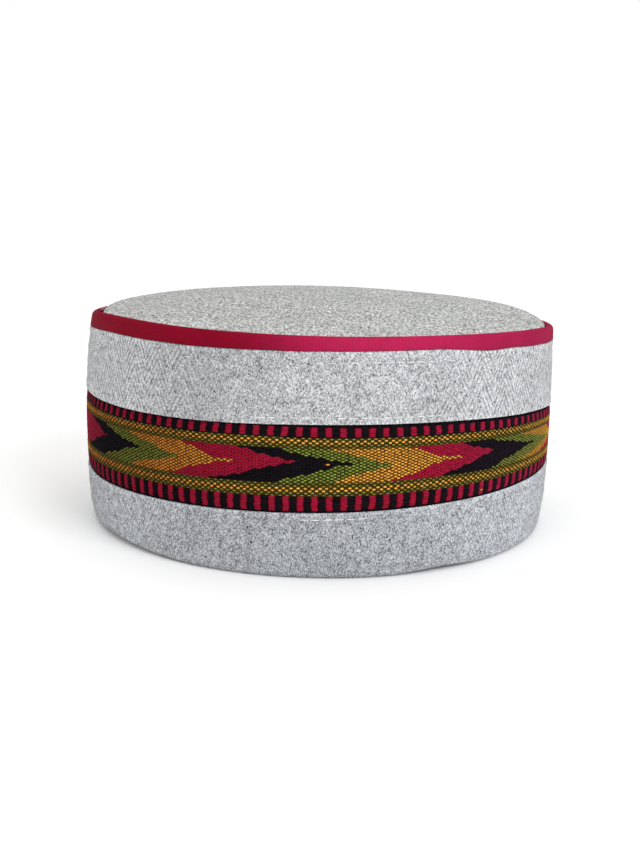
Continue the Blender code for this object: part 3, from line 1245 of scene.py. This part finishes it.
@dataclass
class Crown:
    """The domed top with its rounded shoulder and short skirt, which swells out on the right."""

    form: CapForm
    depth_in: float = 3.5 * MM
    rise: float = 3.3 * MM
    flatness: float = 2.6
    shoulder: float = 1.1 * MM
    right_swell: float = 0.3 * MM
    skirt_bottom: float = 78.5 * MM
    columns: int = 256
    rings: int = 44
    shoulder_start: float = 80.0
    shoulder_steps: int = 7
    hem_round: float = 0.4 * MM
    unevenness: float = 0.35 * MM
    left_gap: float = 0.8 * MM
    left_gap_at: float = math.radians(-88)
    left_gap_width: float = 0.35
    painted_front_light: float = 0.08
    painted_right_light: float = 0.05
    wool: WoolFinish = WoolFinish(
        "crown_melange", mid=(0.247, 0.249, 0.24), pale=(0.528, 0.533, 0.51), herringbone=0.0,
        fleck=(1.05, 3.3), dark_share=0.6, white_share=0.5,
    )

    def edge_depth(self, angle: Array) -> Array:
        """Depth of the skirt's outer face: swollen on the right, set back at the left.

        Args:
            angle: Angles round the cap.

        Returns:
            The depths.
        """
        swell = self.right_swell * (0.5 + 0.5 * np.sin(angle)) ** 2
        gap = self.left_gap * bell(angle, self.left_gap_at, self.left_gap_width)
        return self.depth_in - swell + gap

    def cloth_place(self, angle: Array, points: Array) -> Array:
        """Place on the flat cloth: the plan place, moved out by the drop below the edge."""
        drop = np.maximum(self.form.edge(Edge.CROWN_EDGE, angle)[None] - points[..., 2], 0.0)
        return points[..., :2] * (1 + drop / self.form.half_width)[..., None]

    def dome(self, share: Array, angle: Array) -> Array:
        """Height of the dome at a share of its radius: flat in the middle, falling as a power.

        Args:
            share: Shares of the radius.
            angle: Angles round the cap.

        Returns:
            The heights.
        """
        wave = np.sin(7 * share * np.cos(angle) + 0.8) * np.sin(6 * share * np.sin(angle) + 0.3)
        level = self.form.crown_height
        edge = level + (self.form.edge(Edge.CROWN_EDGE, angle) - level) * share**2
        fall = self.rise * (1 - share**self.flatness)
        return edge + fall + self.unevenness * wave * (1 - share**4)

    def outline(self, angle: Array) -> tuple[Array, Array]:
        """Depths and heights from the middle of the top, over the shoulder, to the middle below.

        Args:
            angle: Angles of the columns.

        Returns:
            Depth and height, each rings by columns.
        """
        form, angle = self.form, angle[None]
        shoulder, edge = self.shoulder, self.edge_depth(angle)
        radius = form.half_width - edge
        end = 1 - shoulder / radius
        share = end * np.sqrt(np.linspace(0.0, 1.0, self.rings))[1:, None]
        turn = np.radians(np.linspace(self.shoulder_start, 0.0, self.shoulder_steps))[:, None]
        centre = self.dome(end, angle) - shoulder
        skirt = self.skirt_bottom + 0 * angle
        inside = edge + form.cloth
        under = share[::-1] * (radius - form.cloth) / end
        depth = [form.half_width - share * radius, edge + shoulder * (1 - np.cos(turn))]
        depth += [edge, edge + 0.5 * form.cloth, inside, inside, form.half_width - under]
        height = [self.dome(share, angle), centre + shoulder * np.sin(turn)]
        height += [skirt + self.hem_round, skirt, skirt + self.hem_round, centre - 0.5 * MM]
        height += [self.dome(share[::-1], angle) - form.cloth]
        return np.concatenate(depth), np.concatenate(height)

    def build(self) -> None:
        """Make and dress the crown: a polar grid whose two middles close in one vertex each."""
        angle = columns_round(self.columns)
        depth, height = self.outline(angle)
        rings = self.form.place(angle[None], height, depth)
        poles = np.stack([rings[0].mean(0), rings[-1].mean(0)])
        points = np.concatenate([rings.reshape(-1, 3), poles])
        cloth = np.concatenate([self.cloth_place(angle, rings).reshape(-1, 2), poles[:, :2]])
        quads, _ = corner_table(len(rings), self.columns, False)
        column = np.arange(self.columns)
        following = (column + 1) % self.columns
        last_ring = (len(rings) - 1) * self.columns
        top, below = len(points) - 2, len(points) - 1
        fans = np.concatenate([
            np.stack([np.full_like(column, top), following, column], -1),
            np.stack([np.full_like(column, below), last_ring + column, last_ring + following], -1),
        ])
        loops = np.concatenate([quads.ravel(), fans.ravel()])
        sizes = np.concatenate([np.full(len(quads), 4), np.full(len(fans), 3)])
        piece = fill_mesh("crown_wool", points, loops, sizes, cloth[loops])
        # Painted light: the crown's tone is brighter towards the front and towards the right, where
        # the light falls.
        nearness = np.maximum(-points[:, 1], 0.0) / self.form.half_width
        rightness = points[:, 0] / self.form.half_width
        keep(piece, "tone", 1 + self.painted_front_light * nearness + self.painted_right_light * rightness)
        dress(piece, self.wool.material(), Slot.CROWN_WOOL, "crown_panel")


@dataclass
class SideWall:
    """The inner wall, which stands in the rim fold and leans in under the crown's skirt."""

    form: CapForm
    lean_start: float = 18.0 * MM
    top: float = 78.2 * MM
    top_depth: float = 3.6 * MM
    columns: int = 300
    tilt: float = -0.8 * MM
    corner: float = 0.4 * MM
    fine: float = 3.0 * MM
    coarse: float = 5.0 * MM
    wool: WoolFinish = WoolFinish("inner_melange", tone=0.85, herringbone=0.4)

    def outline(self, angle: Array) -> Array:
        """Section of the wall: up the outer side, over the top, down the inner side.

        Args:
            angle: Angles round the cap.

        Returns:
            Stations by angles by (depth, height).
        """
        form = self.form
        foot_depth = form.cloth + form.gap
        span = self.top - self.lean_start
        lean = self.tilt * np.sin(angle) / (form.crown_height - self.lean_start)
        outer, inner = [], []
        for share in (0.0, 0.25, 0.5, 0.75, 1.0):
            height = self.lean_start + share * span * (1 + lean)
            depth = foot_depth + share * (self.top_depth - foot_depth)
            outer.append(station(angle, depth, height))
            inner.append(station(angle, depth + form.wall, height))
        foot = [station(angle, foot_depth + k * form.wall, form.fold_centre) for k in (0, 1)]
        stations = [foot[0], *outer, *reversed(inner), foot[1]]
        rounded = round_corners(np.stack(stations), self.corner)
        return refine(rounded, self.fine, self.coarse, 0.0)

    def build(self) -> None:
        """Make and dress the wall."""
        angle = columns_round(self.columns)
        piece = ring_piece("side_wall_wool", self.form, angle, self.outline(angle))
        keep(piece, "tone", np.ones(len(piece.data.vertices)))
        dress(piece, self.wool.material(), Slot.INNER_WOOL, "side_wall")


@dataclass(frozen=True)
class Chevron:
    """Where one colour of the chevrons gives way to the next, in mm.

    Args:
        yarn: The colour.
        tip: Arc of its point, in the repeat at the front.
        tip_rise: Height of its point above the pattern's middle.
        upper: Arc of its end at the top of the field.
        lower: Arc of its end at the bottom of the field.
        thread: How far a single thread of it runs on past the point.
    """

    yarn: Yarn
    tip: float
    tip_rise: float
    upper: float
    lower: float
    thread: float


@dataclass(frozen=True)
class BandChart:
    """The band's pattern: which yarn shows at each place.

    The repeats are alike, apart from those beside the front one, whose points depart from
    the chart by the shifts given here, as a hand-set warp makes them. At a slip a single gold
    float shows.
    """

    pitch: float = 2.605 * MM
    floats_per_repeat: int = 33
    waver: float = 0.9
    waver_turns: tuple[float, float, float] = (9.7, 2.1, 1.3)
    half_field: float = 6.3 * MM
    thread_half_height: float = 0.5 * MM
    lower_block_phase: float = -0.49 * MM
    upper_block_phase: float = -1.29 * MM
    reach_up: float = 14.5 * MM
    reach_down: float = 17.3 * MM
    chevrons: tuple[Chevron, ...] = (
        Chevron(Yarn.RED, -8.3, 1.4, -31.4, -39.4, 0.2),
        Chevron(Yarn.BLACK, 10.2, 0.55, -15.7, -15.7, 2.4),
        Chevron(Yarn.GREEN, 27.3, -0.25, 3.8, 3.8, 0.0),
        Chevron(Yarn.GOLD, 51.5, 0.45, 33.3, 27.6, 4.8),
    )
    shift_columns: tuple[str, ...] = ("repeat", "red", "black", "green", "gold")
    shifts: tuple[tuple[float, ...], ...] = (
        (-2, 0.0, 0.0, 0.0, -16.0),
        (-1, -5.8, -1.1, 4.5, -0.5),
        (1, -3.7, 4.4, 12.0, 0.0),
    )
    slip_half_height: float = 0.4 * MM
    slip_columns: tuple[str, ...] = ("arc in mm", "rise in mm")
    slips: tuple[tuple[float, ...], ...] = ((2.9, 0.1), (66.8, -14.6))
    row_columns: tuple[str, ...] = ("weave", "rows", "spacing in mm")
    row_groups: tuple[tuple[Weave, int, float], ...] = (
        (Weave.EDGE, 1, 0.6), (Weave.BLOCKS, 7, 0.763), (Weave.SHADOW, 1, 0.84),
        (Weave.OLIVE_LINE, 1, 0.84), (Weave.GOLD_LINE, 2, 0.84), (Weave.OLIVE_LINE, 1, 0.84),
        (Weave.SHADOW, 1, 0.84), (Weave.FIELD, 22, 0.568), (Weave.SHADOW, 1, 0.84),
        (Weave.OLIVE_LINE, 1, 0.84), (Weave.GOLD_LINE, 2, 0.84), (Weave.OLIVE_LINE, 1, 0.84),
        (Weave.EDGE, 1, 0.3), (Weave.BLOCKS, 5, 0.68), (Weave.EDGE, 3, 0.75),
    )

    def rows(self) -> tuple[Array, Array, Array]:
        """The rows from the lowest up: their weave, the rise of their middle and their height.

        Returns:
            Three arrays with one entry for each row.
        """
        counts = [group[1] for group in self.row_groups]
        weave = np.repeat([group[0].value for group in self.row_groups], counts)
        height = np.repeat([group[2] * MM for group in self.row_groups], counts)
        return weave, np.cumsum(height) - height / 2 - self.reach_down, height

    def field_yarn(self, arc: Array, rise: Array) -> Array:
        """The yarn of the chevron field at given places.

        Each colour ends at a line from its point to its end at the top or bottom of the
        field, with a quick sine over the rows that makes its steps uneven. The number of ends
        already passed, counted in fours, names the yarn.

        Args:
            arc: Arcs round the band.
            rise: Heights above the band's middle.

        Returns:
            The value of the yarn.
        """
        repeat_length = self.pitch * self.floats_per_repeat
        passed = np.zeros(np.broadcast(arc, rise).shape, int)
        shifts = {int(row[0]): row[1:] for row in self.shifts}
        by_row, by_yarn, by_repeat = self.waver_turns
        for chevron in self.chevrons:
            above = rise - chevron.tip_rise * MM
            upper_share = np.clip(above / (self.half_field - chevron.tip_rise * MM), 0.0, None)
            lower_share = np.clip(-above / (self.half_field + chevron.tip_rise * MM), 0.0, None)
            on_thread = np.abs(above) < self.thread_half_height
            for repeat in range(-5, 6):
                tip = chevron.tip + shifts.get(repeat, (0.0,) * 4)[chevron.yarn.value]
                slant = upper_share * (chevron.upper - tip)
                end = tip + slant + lower_share * (chevron.lower - tip)
                turn = by_row * rise / MM + by_yarn * chevron.yarn.value + by_repeat * repeat
                end = end + self.waver * np.sin(turn)
                end = np.where(on_thread, tip + chevron.thread, end) * MM
                passed += arc >= end + repeat * repeat_length
        return passed % 4

    def yarn(self, weave: Array, arc: Array, rise: Array) -> Array:
        """The yarn that shows in rows of any weave.

        Args:
            weave: Value of the row's weave.
            arc: Arcs round the band.
            rise: Heights above the band's middle.

        Returns:
            The value of the yarn.
        """
        phase = np.where(rise > 0, self.upper_block_phase, self.lower_block_phase)
        block = np.round((arc - phase) / self.pitch).astype(int) % 2
        result = self.field_yarn(arc, rise)
        result = np.where(weave == Weave.BLOCKS.value, block, result)
        olive = (weave == Weave.OLIVE_LINE.value) | (weave == Weave.SHADOW.value)
        result = np.where(olive, Yarn.OLIVE.value, result)
        result = np.where(weave == Weave.GOLD_LINE.value, Yarn.GOLD.value, result)
        for at, up in self.slips:
            in_row = np.abs(rise - up * MM) < self.slip_half_height
            near = (np.abs(arc - at * MM) < 0.5 * self.pitch) & in_row
            result = np.where(near, Yarn.GOLD.value, result)
        return np.where(weave == Weave.EDGE.value, Yarn.BLACK.value, result)


@dataclass(frozen=True)
class FloatSize:
    """Size of one float.

    Args:
        length: Length as a share of the pitch.
        width: Width as a share of the row's height.
        widest: Largest width, in mm.
        lift: How far it stands off the ground, in mm.
    """

    length: float
    width: float
    widest: float
    lift: float


@dataclass
class WovenBand:
    """The woven ribbon: its ground cloth and the floats of weft yarn that carry the pattern."""

    form: CapForm
    chart: BandChart = field(default_factory=BandChart)
    bow: float = 1.0 * MM
    bow_power: float = 14.0
    right_more: float = 1.0 * MM
    ground_drop: float = 0.22 * MM
    columns: int = 480
    row_step: float = 0.6 * MM
    smooth: FloatSize = FloatSize(1.08, 1.25, 2.0, 0.24)
    dotted: FloatSize = FloatSize(0.54, 1.1, 0.78, 0.36)
    faint: FloatSize = FloatSize(0.50, 1.0, 0.40, 0.16)
    dim: FloatSize = FloatSize(0.52, 1.0, 0.60, 0.28)
    yarns: tuple[YarnFinish, ...] = (
        YarnFinish("red_yarn", crest=(0.265, 0.007, 0.026), foot=(0.16, 0.004, 0.014), spread=0.12,
                   left=(0.76, 0.85, 0.8), right=(1.05, 1.5, 1.5)),
        YarnFinish("black_yarn", crest=(0.0065, 0.0048, 0.007), foot=(0.002, 0.0014, 0.002),
                   right=(1.5, 1.3, 1.4)),
        YarnFinish("green_yarn", crest=(0.20, 0.25, 0.040), foot=(0.06, 0.07, 0.012),
                   right=(1.0, 0.86, 1.2)),
        YarnFinish("gold_yarn", crest=(0.72, 0.34, 0.050), foot=(0.15, 0.06, 0.009),
                   left=(0.66, 0.48, 0.58), right=(0.76, 0.78, 0.86)),
        YarnFinish("olive_yarn", crest=(0.255, 0.205, 0.036), foot=(0.07, 0.056, 0.010)),
    )
    tints: tuple[Colour, ...] = (
        (0.09, 0.003, 0.008), (0.003, 0.0025, 0.004), (0.026, 0.026, 0.005), (0.09, 0.037, 0.006),
        (0.030, 0.025, 0.005),
    )

    def face_depth(self, angle: Array, rise: Array) -> Array:
        """Depth of the ribbon's face: behind the lips at its edges, bowed out between them.

        Args:
            angle: Angles round the cap.
            rise: Heights above the band's middle.

        Returns:
            The depths.
        """
        middle = self.form.edge(Edge.WEAVE_MIDDLE, angle)
        top = self.form.edge(Edge.BAND_TOP, angle) - middle
        foot = self.form.edge(Edge.BAND_BOTTOM, angle) - middle
        nearest = np.minimum(top - rise, rise - foot) / (0.5 * (top - foot))
        swell = 1 - (1 - np.clip(nearest, 0.0, 1.0)) ** self.bow_power
        return self.form.cloth - self.form.weave - self.bow * swell

    def draw_in(self, angle: Array, rise: Array) -> Array:
        """Share of the chart's height that the pattern has between the lips.

        On the right a little more of the chart shows above the middle, by a smooth step.

        Args:
            angle: Angles round the cap.
            rise: Heights above the middle.

        Returns:
            The shares.
        """
        middle = self.form.edge(Edge.WEAVE_MIDDLE, angle)
        step = np.clip((np.degrees(angle) + 20) / 30, 0.0, 1.0)
        more = self.right_more * step**2 * (3 - 2 * step)
        up = (self.form.edge(Edge.BAND_TOP, angle) - middle) / (self.chart.reach_up + more)
        down = (middle - self.form.edge(Edge.BAND_BOTTOM, angle)) / self.chart.reach_down
        return np.where(rise > 0, up, down)

    def surface(self, arc: Array, rise: Array, lift: Array) -> Array:
        """Points at an arc and chart rise on the ribbon's ground, raised by a lift.

        Args:
            arc: Arcs round the band.
            rise: Heights on the chart.
            lift: Lifts off the ground.

        Returns:
            The points.
        """
        angle = self.form.angle_at(arc)
        rise = rise * self.draw_in(angle, rise)
        height = self.form.edge(Edge.WEAVE_MIDDLE, angle) + rise
        depth = self.face_depth(angle, rise) + self.ground_drop - lift
        return self.form.place(angle, height, depth)

    def ground(self) -> Piece:
        """The ribbon's ground cloth, tinted by the chart.

        Returns:
            The piece.
        """
        form = self.form
        angle = columns_round(self.columns)
        half = form.weave_half_width
        steps = int(round(2 * half / self.row_step))
        rises = np.linspace(half, -half, steps + 1)[:, None]
        middle = form.edge(Edge.WEAVE_MIDDLE, angle)[None]
        front = self.face_depth(angle[None], rises) + self.ground_drop
        back_rises = rises[::-8]
        back = self.face_depth(angle[None], back_rises) + form.weave
        depth = np.concatenate([front, back])
        rise = np.concatenate([rises, back_rises])
        outline = np.stack([depth, middle + rise], -1)
        piece = ring_piece("band_ground", form, angle, outline)
        weave, row_rise, _ = self.chart.rows()
        rise = rise / self.draw_in(angle[None], rise)
        nearest = np.abs(rise[..., None] - row_rise).argmin(-1)
        yarn = self.chart.yarn(weave[nearest], form.arc_at(angle)[None], row_rise[nearest])
        yarn = np.where(weave[nearest] == Weave.GOLD_LINE.value, Yarn.OLIVE.value, yarn)
        tint = np.array(self.tints)[yarn].reshape(-1, 3)
        keep(piece, "tint", np.column_stack([tint, np.ones(len(tint))]))
        return piece

    def float_places(self) -> tuple[Array, ...]:
        """Weave, row height, arc and rise of every float.

        Neighbouring rows of dots are half a pitch apart, as in brickwork, and the floats of
        the blocks stand in line.

        Returns:
            Four arrays with one entry for each float.
        """
        weave, rise, height = self.chart.rows()
        pitch = self.chart.pitch
        count = int(self.form.girth // pitch)
        number = np.arange(count) - count // 2
        in_line = np.isin(weave, (Weave.BLOCKS.value, Weave.EDGE.value))
        phase = np.where(rise > 0, self.chart.upper_block_phase, self.chart.lower_block_phase)
        offset = np.where(in_line, phase, 0.5 * pitch * (np.arange(len(rise)) % 2))
        arc = number[None] * pitch + offset[:, None]
        first, last = self.form.plan[1][[0, -1]]
        inside = (arc > first + pitch / 2) & (arc < last - pitch / 2)
        weave, height, rise = (
            np.broadcast_to(values[:, None], arc.shape)[inside] for values in (weave, height, rise)
        )
        return weave, height, arc[inside], rise

    def build(self) -> None:
        """Make and dress the ground and one piece of floats for each yarn."""
        cloth = GroundFinish("band_ground_yarn").material()
        dress(self.ground(), cloth, Slot.WOVEN_YARN, "woven_band")
        weave, height, arc, rise = self.float_places()
        yarn = self.chart.yarn(weave, arc, rise)
        kinds = np.where(np.isin(yarn, (Yarn.RED.value, Yarn.BLACK.value)), 0, 1)
        kinds = np.where(weave == Weave.SHADOW.value, 2, kinds)
        kinds = np.where(weave == Weave.OLIVE_LINE.value, 3, kinds)
        length, width, widest, lift = np.array([
            (size.length, size.width, size.widest, size.lift)
            for size in (self.smooth, self.dotted, self.faint, self.dim)
        ])[kinds].T
        draw = np.random.default_rng(SEED)
        shade = draw.random(len(arc))
        shift = draw.normal(0.0, 0.05, (2, len(arc)))
        lean = draw.normal(0.0, 0.035, len(arc))
        for colour in Yarn:
            these = yarn == colour.value
            beads = Beads(
                arc=arc[these] + shift[0, these] * self.chart.pitch,
                rise=rise[these] + shift[1, these] * height[these],
                length=length[these] * self.chart.pitch,
                width=np.minimum(width[these] * height[these], widest[these] * MM),
                lift=lift[these] * MM,
                lean=lean[these],
            )
            name = f"band_{colour.name.lower()}_weft"
            piece = beads.laid(name, PILLOW, self.surface, shade[these])
            dress(piece, self.yarns[colour.value].material(), Slot.WOVEN_YARN)


@dataclass
class EdgeBinding:
    """The ribbed binding folded over the cuff's top edge."""

    form: CapForm
    rib_pitch: float = 0.85 * MM
    rib_height: float = 0.09 * MM
    waver: float = 0.15 * MM
    cotton: BindingFinish = BindingFinish("crimson_ribbed_cotton")

    def outline(self, angle: Array) -> Array:
        """Section of the binding: over the round top, down outside, up inside and back.

        Args:
            angle: Angles round the cap.

        Returns:
            Stations by angles by (depth, height).
        """
        form = self.form
        inner_face = form.tongue_inner + form.gap + form.binding
        middle = 0.5 * (inner_face - form.binding_proud)
        radius = 0.5 * (inner_face + form.binding_proud)
        centre = (middle, form.edge(Edge.CUFF_TOP, angle) - radius)
        wobble = self.waver * (np.sin(17 * angle) + np.sin(29 * angle + 1))
        foot = form.binding_bottom(angle) - 0.5 * form.gap + 0.5 * wobble
        stations = arc_stations(angle, centre, radius, 180, 0, 6)
        outer_face = -form.binding_proud
        stations += [station(angle, d, foot) for d in (outer_face, outer_face + form.binding)]
        stations += arc_stations(angle, centre, radius - form.binding, 0, 180, 3)
        stations += [station(angle, d, foot) for d in (inner_face - form.binding, inner_face)]
        return round_corners(np.stack(stations), 0.3 * MM, cuts=1)

    def build(self) -> None:
        """Make and dress the binding, whose columns lie in turn on a rib and in a groove."""
        ribs = int(round(self.form.girth / self.rib_pitch))
        angle = columns_round(2 * ribs)
        outline = self.outline(angle)
        tangent = np.roll(outline, -1, 0) - np.roll(outline, 1, 0)
        tangent /= np.linalg.norm(tangent, axis=-1, keepdims=True)
        normal = np.stack([-tangent[..., 1], tangent[..., 0]], -1)
        side = np.where(np.arange(2 * ribs) % 2 == 0, 0.5, -0.5)[None, :, None]
        outline = outline + normal * side * self.rib_height
        piece = ring_piece("binding_cotton", self.form, angle, outline)
        # The crest tells rib from groove, for the painted shade and highlight of the cotton.
        keep(piece, "crest", np.tile([1.0, 0.0], ribs * len(outline)))
        dress(piece, self.cotton.material(), Slot.CRIMSON, "edge_binding")


@dataclass
class Stitching:
    """The running stitches on the cuff, the hem stitches inside and the crown's seam."""

    form: CapForm
    face: CuffFace
    thread_width: float = 0.36 * MM
    thread_lift: float = 0.30 * MM
    hem_depth: float = 6.2 * MM
    hem_line: float = 11.6 * MM
    hem_pitch: float = 6.0 * MM
    hem_length: float = 2.6 * MM
    hem_lean: float = 0.35
    seam_height: float = 78.3 * MM
    seam_depth: float = 5.3 * MM
    seam_pitch: float = 3.2 * MM
    seam_length: float = 3.0 * MM
    seam_lean: float = 1.2
    white: ThreadFinish = ThreadFinish("white_thread", (0.86, 0.86, 0.86), (0.60, 0.60, 0.60))
    grey: ThreadFinish = ThreadFinish("grey_thread", (0.62, 0.62, 0.61), (0.45, 0.45, 0.44))

    def inner(self, depth: float, height: float) -> Surface:
        """An inner face as a function of arc, rise above a height, and lift into the hollow.

        Args:
            depth: Depth of the face.
            height: Height that the rise is counted from.

        Returns:
            The function that places points.
        """

        def points(arc: Array, rise: Array, lift: Array) -> Array:
            return self.form.place(self.form.angle_at(arc), height + rise, depth + lift)

        return points

    def row(self, name: str, surface: Surface, pitch: float, length: float, lean: float,
            thread: Material, slot: Slot,
            showing: Callable[[Array], Array] | None = None) -> None:
        """Lay one line of stitches.

        Args:
            name: The piece's name.
            surface: Places points from arc, rise and lift.
            pitch: Distance from one stitch to the next.
            length: Length of thread that shows.
            lean: Turn of each stitch away from the line, in radians.
            thread: The thread's material.
            slot: The record's slot.
            showing: Share of the stitches that the nap leaves open at given arcs, or None for all.
        """
        draw = np.random.default_rng(SEED + len(name))
        count = int(self.form.girth // pitch)
        arc = (np.arange(count) - count // 2) * pitch
        if showing is not None:
            arc = arc[draw.random(count) < showing(arc)]
            count = len(arc)
        beads = Beads(
            arc=arc, rise=draw.normal(0.0, 0.08 * MM, count), width=self.thread_width,
            length=length * draw.uniform(0.85, 1.1, count), lift=self.thread_lift,
            lean=lean + draw.normal(0.0, 0.05, count), hop=0.08 * MM,
        )
        dress(beads.laid(name, PILLOW, surface, draw.random(count)), thread, slot)

    def build(self) -> None:
        """Make and dress every line of stitches."""
        white, grey = self.white.material(), self.grey.material()
        for line in self.face.lines:
            surface = self.face.surface(line.datum)
            self.row(line.name, surface, line.pitch, line.length, 0.0, white, Slot.GREY_WOOL,
                     line.showing)
        hem = self.inner(self.hem_depth, self.hem_line)
        self.row("hem_stitches", hem, self.hem_pitch, self.hem_length, self.hem_lean, grey,
                 Slot.GREY_WOOL)
        seam = self.inner(self.seam_depth, self.seam_height)
        self.row("crown_seam_stitches", seam, self.seam_pitch, self.seam_length, self.seam_lean,
                 grey, Slot.INNER_WOOL)


@dataclass
class LooseFibres:
    """Fine loose fibres that stand off the wool."""

    form: CapForm
    face: CuffFace
    crown: Crown
    per_strip: int = 1500
    on_crown: int = 1200
    length: tuple[float, float] = (1.6 * MM, 4.2 * MM)
    width: float = 0.07 * MM
    crown_share: float = 0.94
    finish: ThreadFinish = ThreadFinish("loose_wool", (0.85, 0.85, 0.85), (0.25, 0.25, 0.26))

    def beads(self, draw: np.random.Generator, arc: Array, rise: Array) -> Beads:
        """Fibres of random length, turn and bend at the given places.

        Args:
            draw: The random numbers.
            arc: Places round the surface.
            rise: Places up the surface.

        Returns:
            The fibres.
        """
        count = len(arc)
        return Beads(
            arc=arc, rise=rise, length=draw.uniform(*self.length, count), width=self.width,
            lift=self.width, lean=draw.uniform(0, 2 * math.pi, count),
            bow=draw.normal(0.0, 0.18, count), hop=draw.uniform(0.05, 0.35, count) * MM,
        )

    def crown_surface(self, x: Array, y: Array, lift: Array) -> Array:
        """The crown's top as a function of x, y and lift.

        Args:
            x: Places across.
            y: Places from front to back.
            lift: Lifts off the top.

        Returns:
            The points.
        """
        form = self.form
        angle = np.arctan2(x, -y / form.depth_ratio)
        radius = form.half_width - self.crown.depth_in
        share = np.minimum(np.hypot(x, y / form.depth_ratio) / radius, 1.0)
        return np.stack([x, y, self.crown.dome(share, angle) + lift], -1)

    def build(self) -> None:
        """Make and dress the fibres of both strips and of the crown."""
        form = self.form
        draw = np.random.default_rng(SEED + 1)
        material = self.finish.material()
        strips = (
            ("upper_loose_fibres", Edge.BAND_TOP, 2 * MM, 24 * MM),
            ("lower_loose_fibres", Edge.BAND_BOTTOM, -17 * MM, -2 * MM),
        )
        for name, edge, low, high in strips:
            surface = self.face.surface(lambda a, edge=edge: form.edge(edge, a))
            arc = draw.uniform(form.plan[1][0], form.plan[1][-1], self.per_strip)
            beads = self.beads(draw, arc, draw.uniform(low, high, self.per_strip))
            piece = beads.laid(name, HAIR, surface, draw.random(self.per_strip))
            dress(piece, material, Slot.GREY_WOOL)
        angle = draw.uniform(0, 2 * math.pi, self.on_crown)
        reach = self.crown_share * form.half_width * np.sqrt(draw.random(self.on_crown))
        beads = self.beads(draw, reach * np.sin(angle), reach * np.cos(angle))
        shade = draw.random(self.on_crown)
        piece = beads.laid("crown_loose_fibres", HAIR, self.crown_surface, shade)
        dress(piece, material, Slot.CROWN_WOOL)


@dataclass(frozen=True)
class Studio:
    """A pale floor that sweeps up behind, soft lights, and the camera at the photo's angle."""

    target: tuple[float, float, float] = (0.77 * MM, 0.0, 35.2 * MM)
    distance: float = 665 * MM
    elevation: float = 12.12
    roll: float = 1.31
    focal_pixels: float = 1597.4
    image_height: float = 853.0
    sensor: float = 36.0
    floor_reach: float = 2.2
    sweep_start: float = 1.2
    sweep_radius: float = 1.0
    sweep_top: float = 2.4

    def floor(self) -> None:
        """The floor: a straight run, a quarter circle and a wall, drawn out sideways."""
        turn = np.linspace(-math.pi / 2, 0.0, 17)
        y = [-self.floor_reach, 0.0, *(self.sweep_start + self.sweep_radius * np.cos(turn))]
        z = [0.0, 0.0, *(self.sweep_radius * (1 + np.sin(turn)))]
        y.append(y[-1])
        z.append(self.sweep_top)
        sides = np.array([-self.floor_reach, self.floor_reach])
        y, z = np.array(y)[:, None], np.array(z)[:, None]
        grid = np.stack(np.broadcast_arrays(sides[None], y, z), -1)
        start = 2 * np.arange(len(y) - 1)[:, None]
        faces = start + np.array([[0, 1, 3, 2]])
        mesh = bpy.data.meshes.new("studio_floor")
        mesh.from_pydata(grid.reshape(-1, 3).tolist(), [], faces.tolist())
        mesh.shade_smooth()
        paper = Recipe("pale_paper", roughness=0.9)
        paper.shader.inputs["Base Color"].default_value = (0.985, 0.985, 0.985, 1.0)
        mesh.materials.append(paper.material)
        link("studio_floor", mesh)

    def light(
        self, name: str, place: Sequence[float], size: float, watts: float, colour: Colour,
    ) -> None:
        """A square soft light that faces the cap.

        Args:
            name: The light's name.
            place: Where it stands.
            size: Length of its side.
            watts: Its power.
            colour: Its colour.
        """
        lamp = bpy.data.lights.new(name, "AREA")
        lamp.color = colour
        lamp.size = size
        lamp.energy = watts
        light = link(name, lamp)
        light.location = place
        light.rotation_mode = "QUATERNION"
        light.rotation_quaternion = (Vector(self.target) - Vector(place)).to_track_quat("-Z", "Y")

    def camera(self) -> None:
        """The camera, which looks at the target from the front and a little above."""
        turn = math.radians(self.elevation)
        back = Vector((0.0, -math.cos(turn), math.sin(turn)))
        lens = bpy.data.cameras.new("camera")
        lens.sensor_width = self.sensor
        lens.lens = self.focal_pixels * self.sensor / self.image_height
        lens.clip_start = 0.02
        lens.clip_end = 20.0
        camera = link("camera", lens)
        camera.location = Vector(self.target) + back * self.distance
        camera.rotation_mode = "QUATERNION"
        level = (-back).to_track_quat("-Z", "Y")
        camera.rotation_quaternion = level @ Quaternion((0.0, 0.0, 1.0), math.radians(self.roll))
        bpy.context.scene.camera = camera

    def build(self) -> None:
        """Set up the floor, the lights, the surroundings and the camera."""
        self.floor()
        self.camera()
        self.light("key", (1.1, -1.5, 1.2), 1.2, 22.0, (0.97, 0.985, 1.0))
        self.light("fill", (-1.2, -1.4, 0.7), 1.2, 4.5, (1.0, 0.985, 0.92))
        self.light("top", (0.0, 0.3, 1.8), 1.6, 8.0, (1.0, 1.0, 0.98))
        world = bpy.data.worlds.new("studio")
        world.use_nodes = True
        background = world.node_tree.nodes["Background"]
        background.inputs["Color"].default_value = (1.0, 1.0, 1.0, 1.0)
        background.inputs["Strength"].default_value = 0.75
        bpy.context.scene.world = world
        bpy.context.scene.view_settings.view_transform = "Standard"


def main() -> None:
    """Build the studio and the cap's pieces in order, and note the sizes."""
    logging.basicConfig(level=logging.INFO, format="%(name)s: %(message)s")
    form = CapForm()
    face = CuffFace(form)
    crown = Crown(form)
    Studio().build()
    crown.build()
    SideWall(form).build()
    Cuff(form, face).build()
    WovenBand(form).build()
    EdgeBinding(form).build()
    Stitching(form, face).build()
    LooseFibres(form, face, crown).build()


if __name__ == "__main__":
    main()
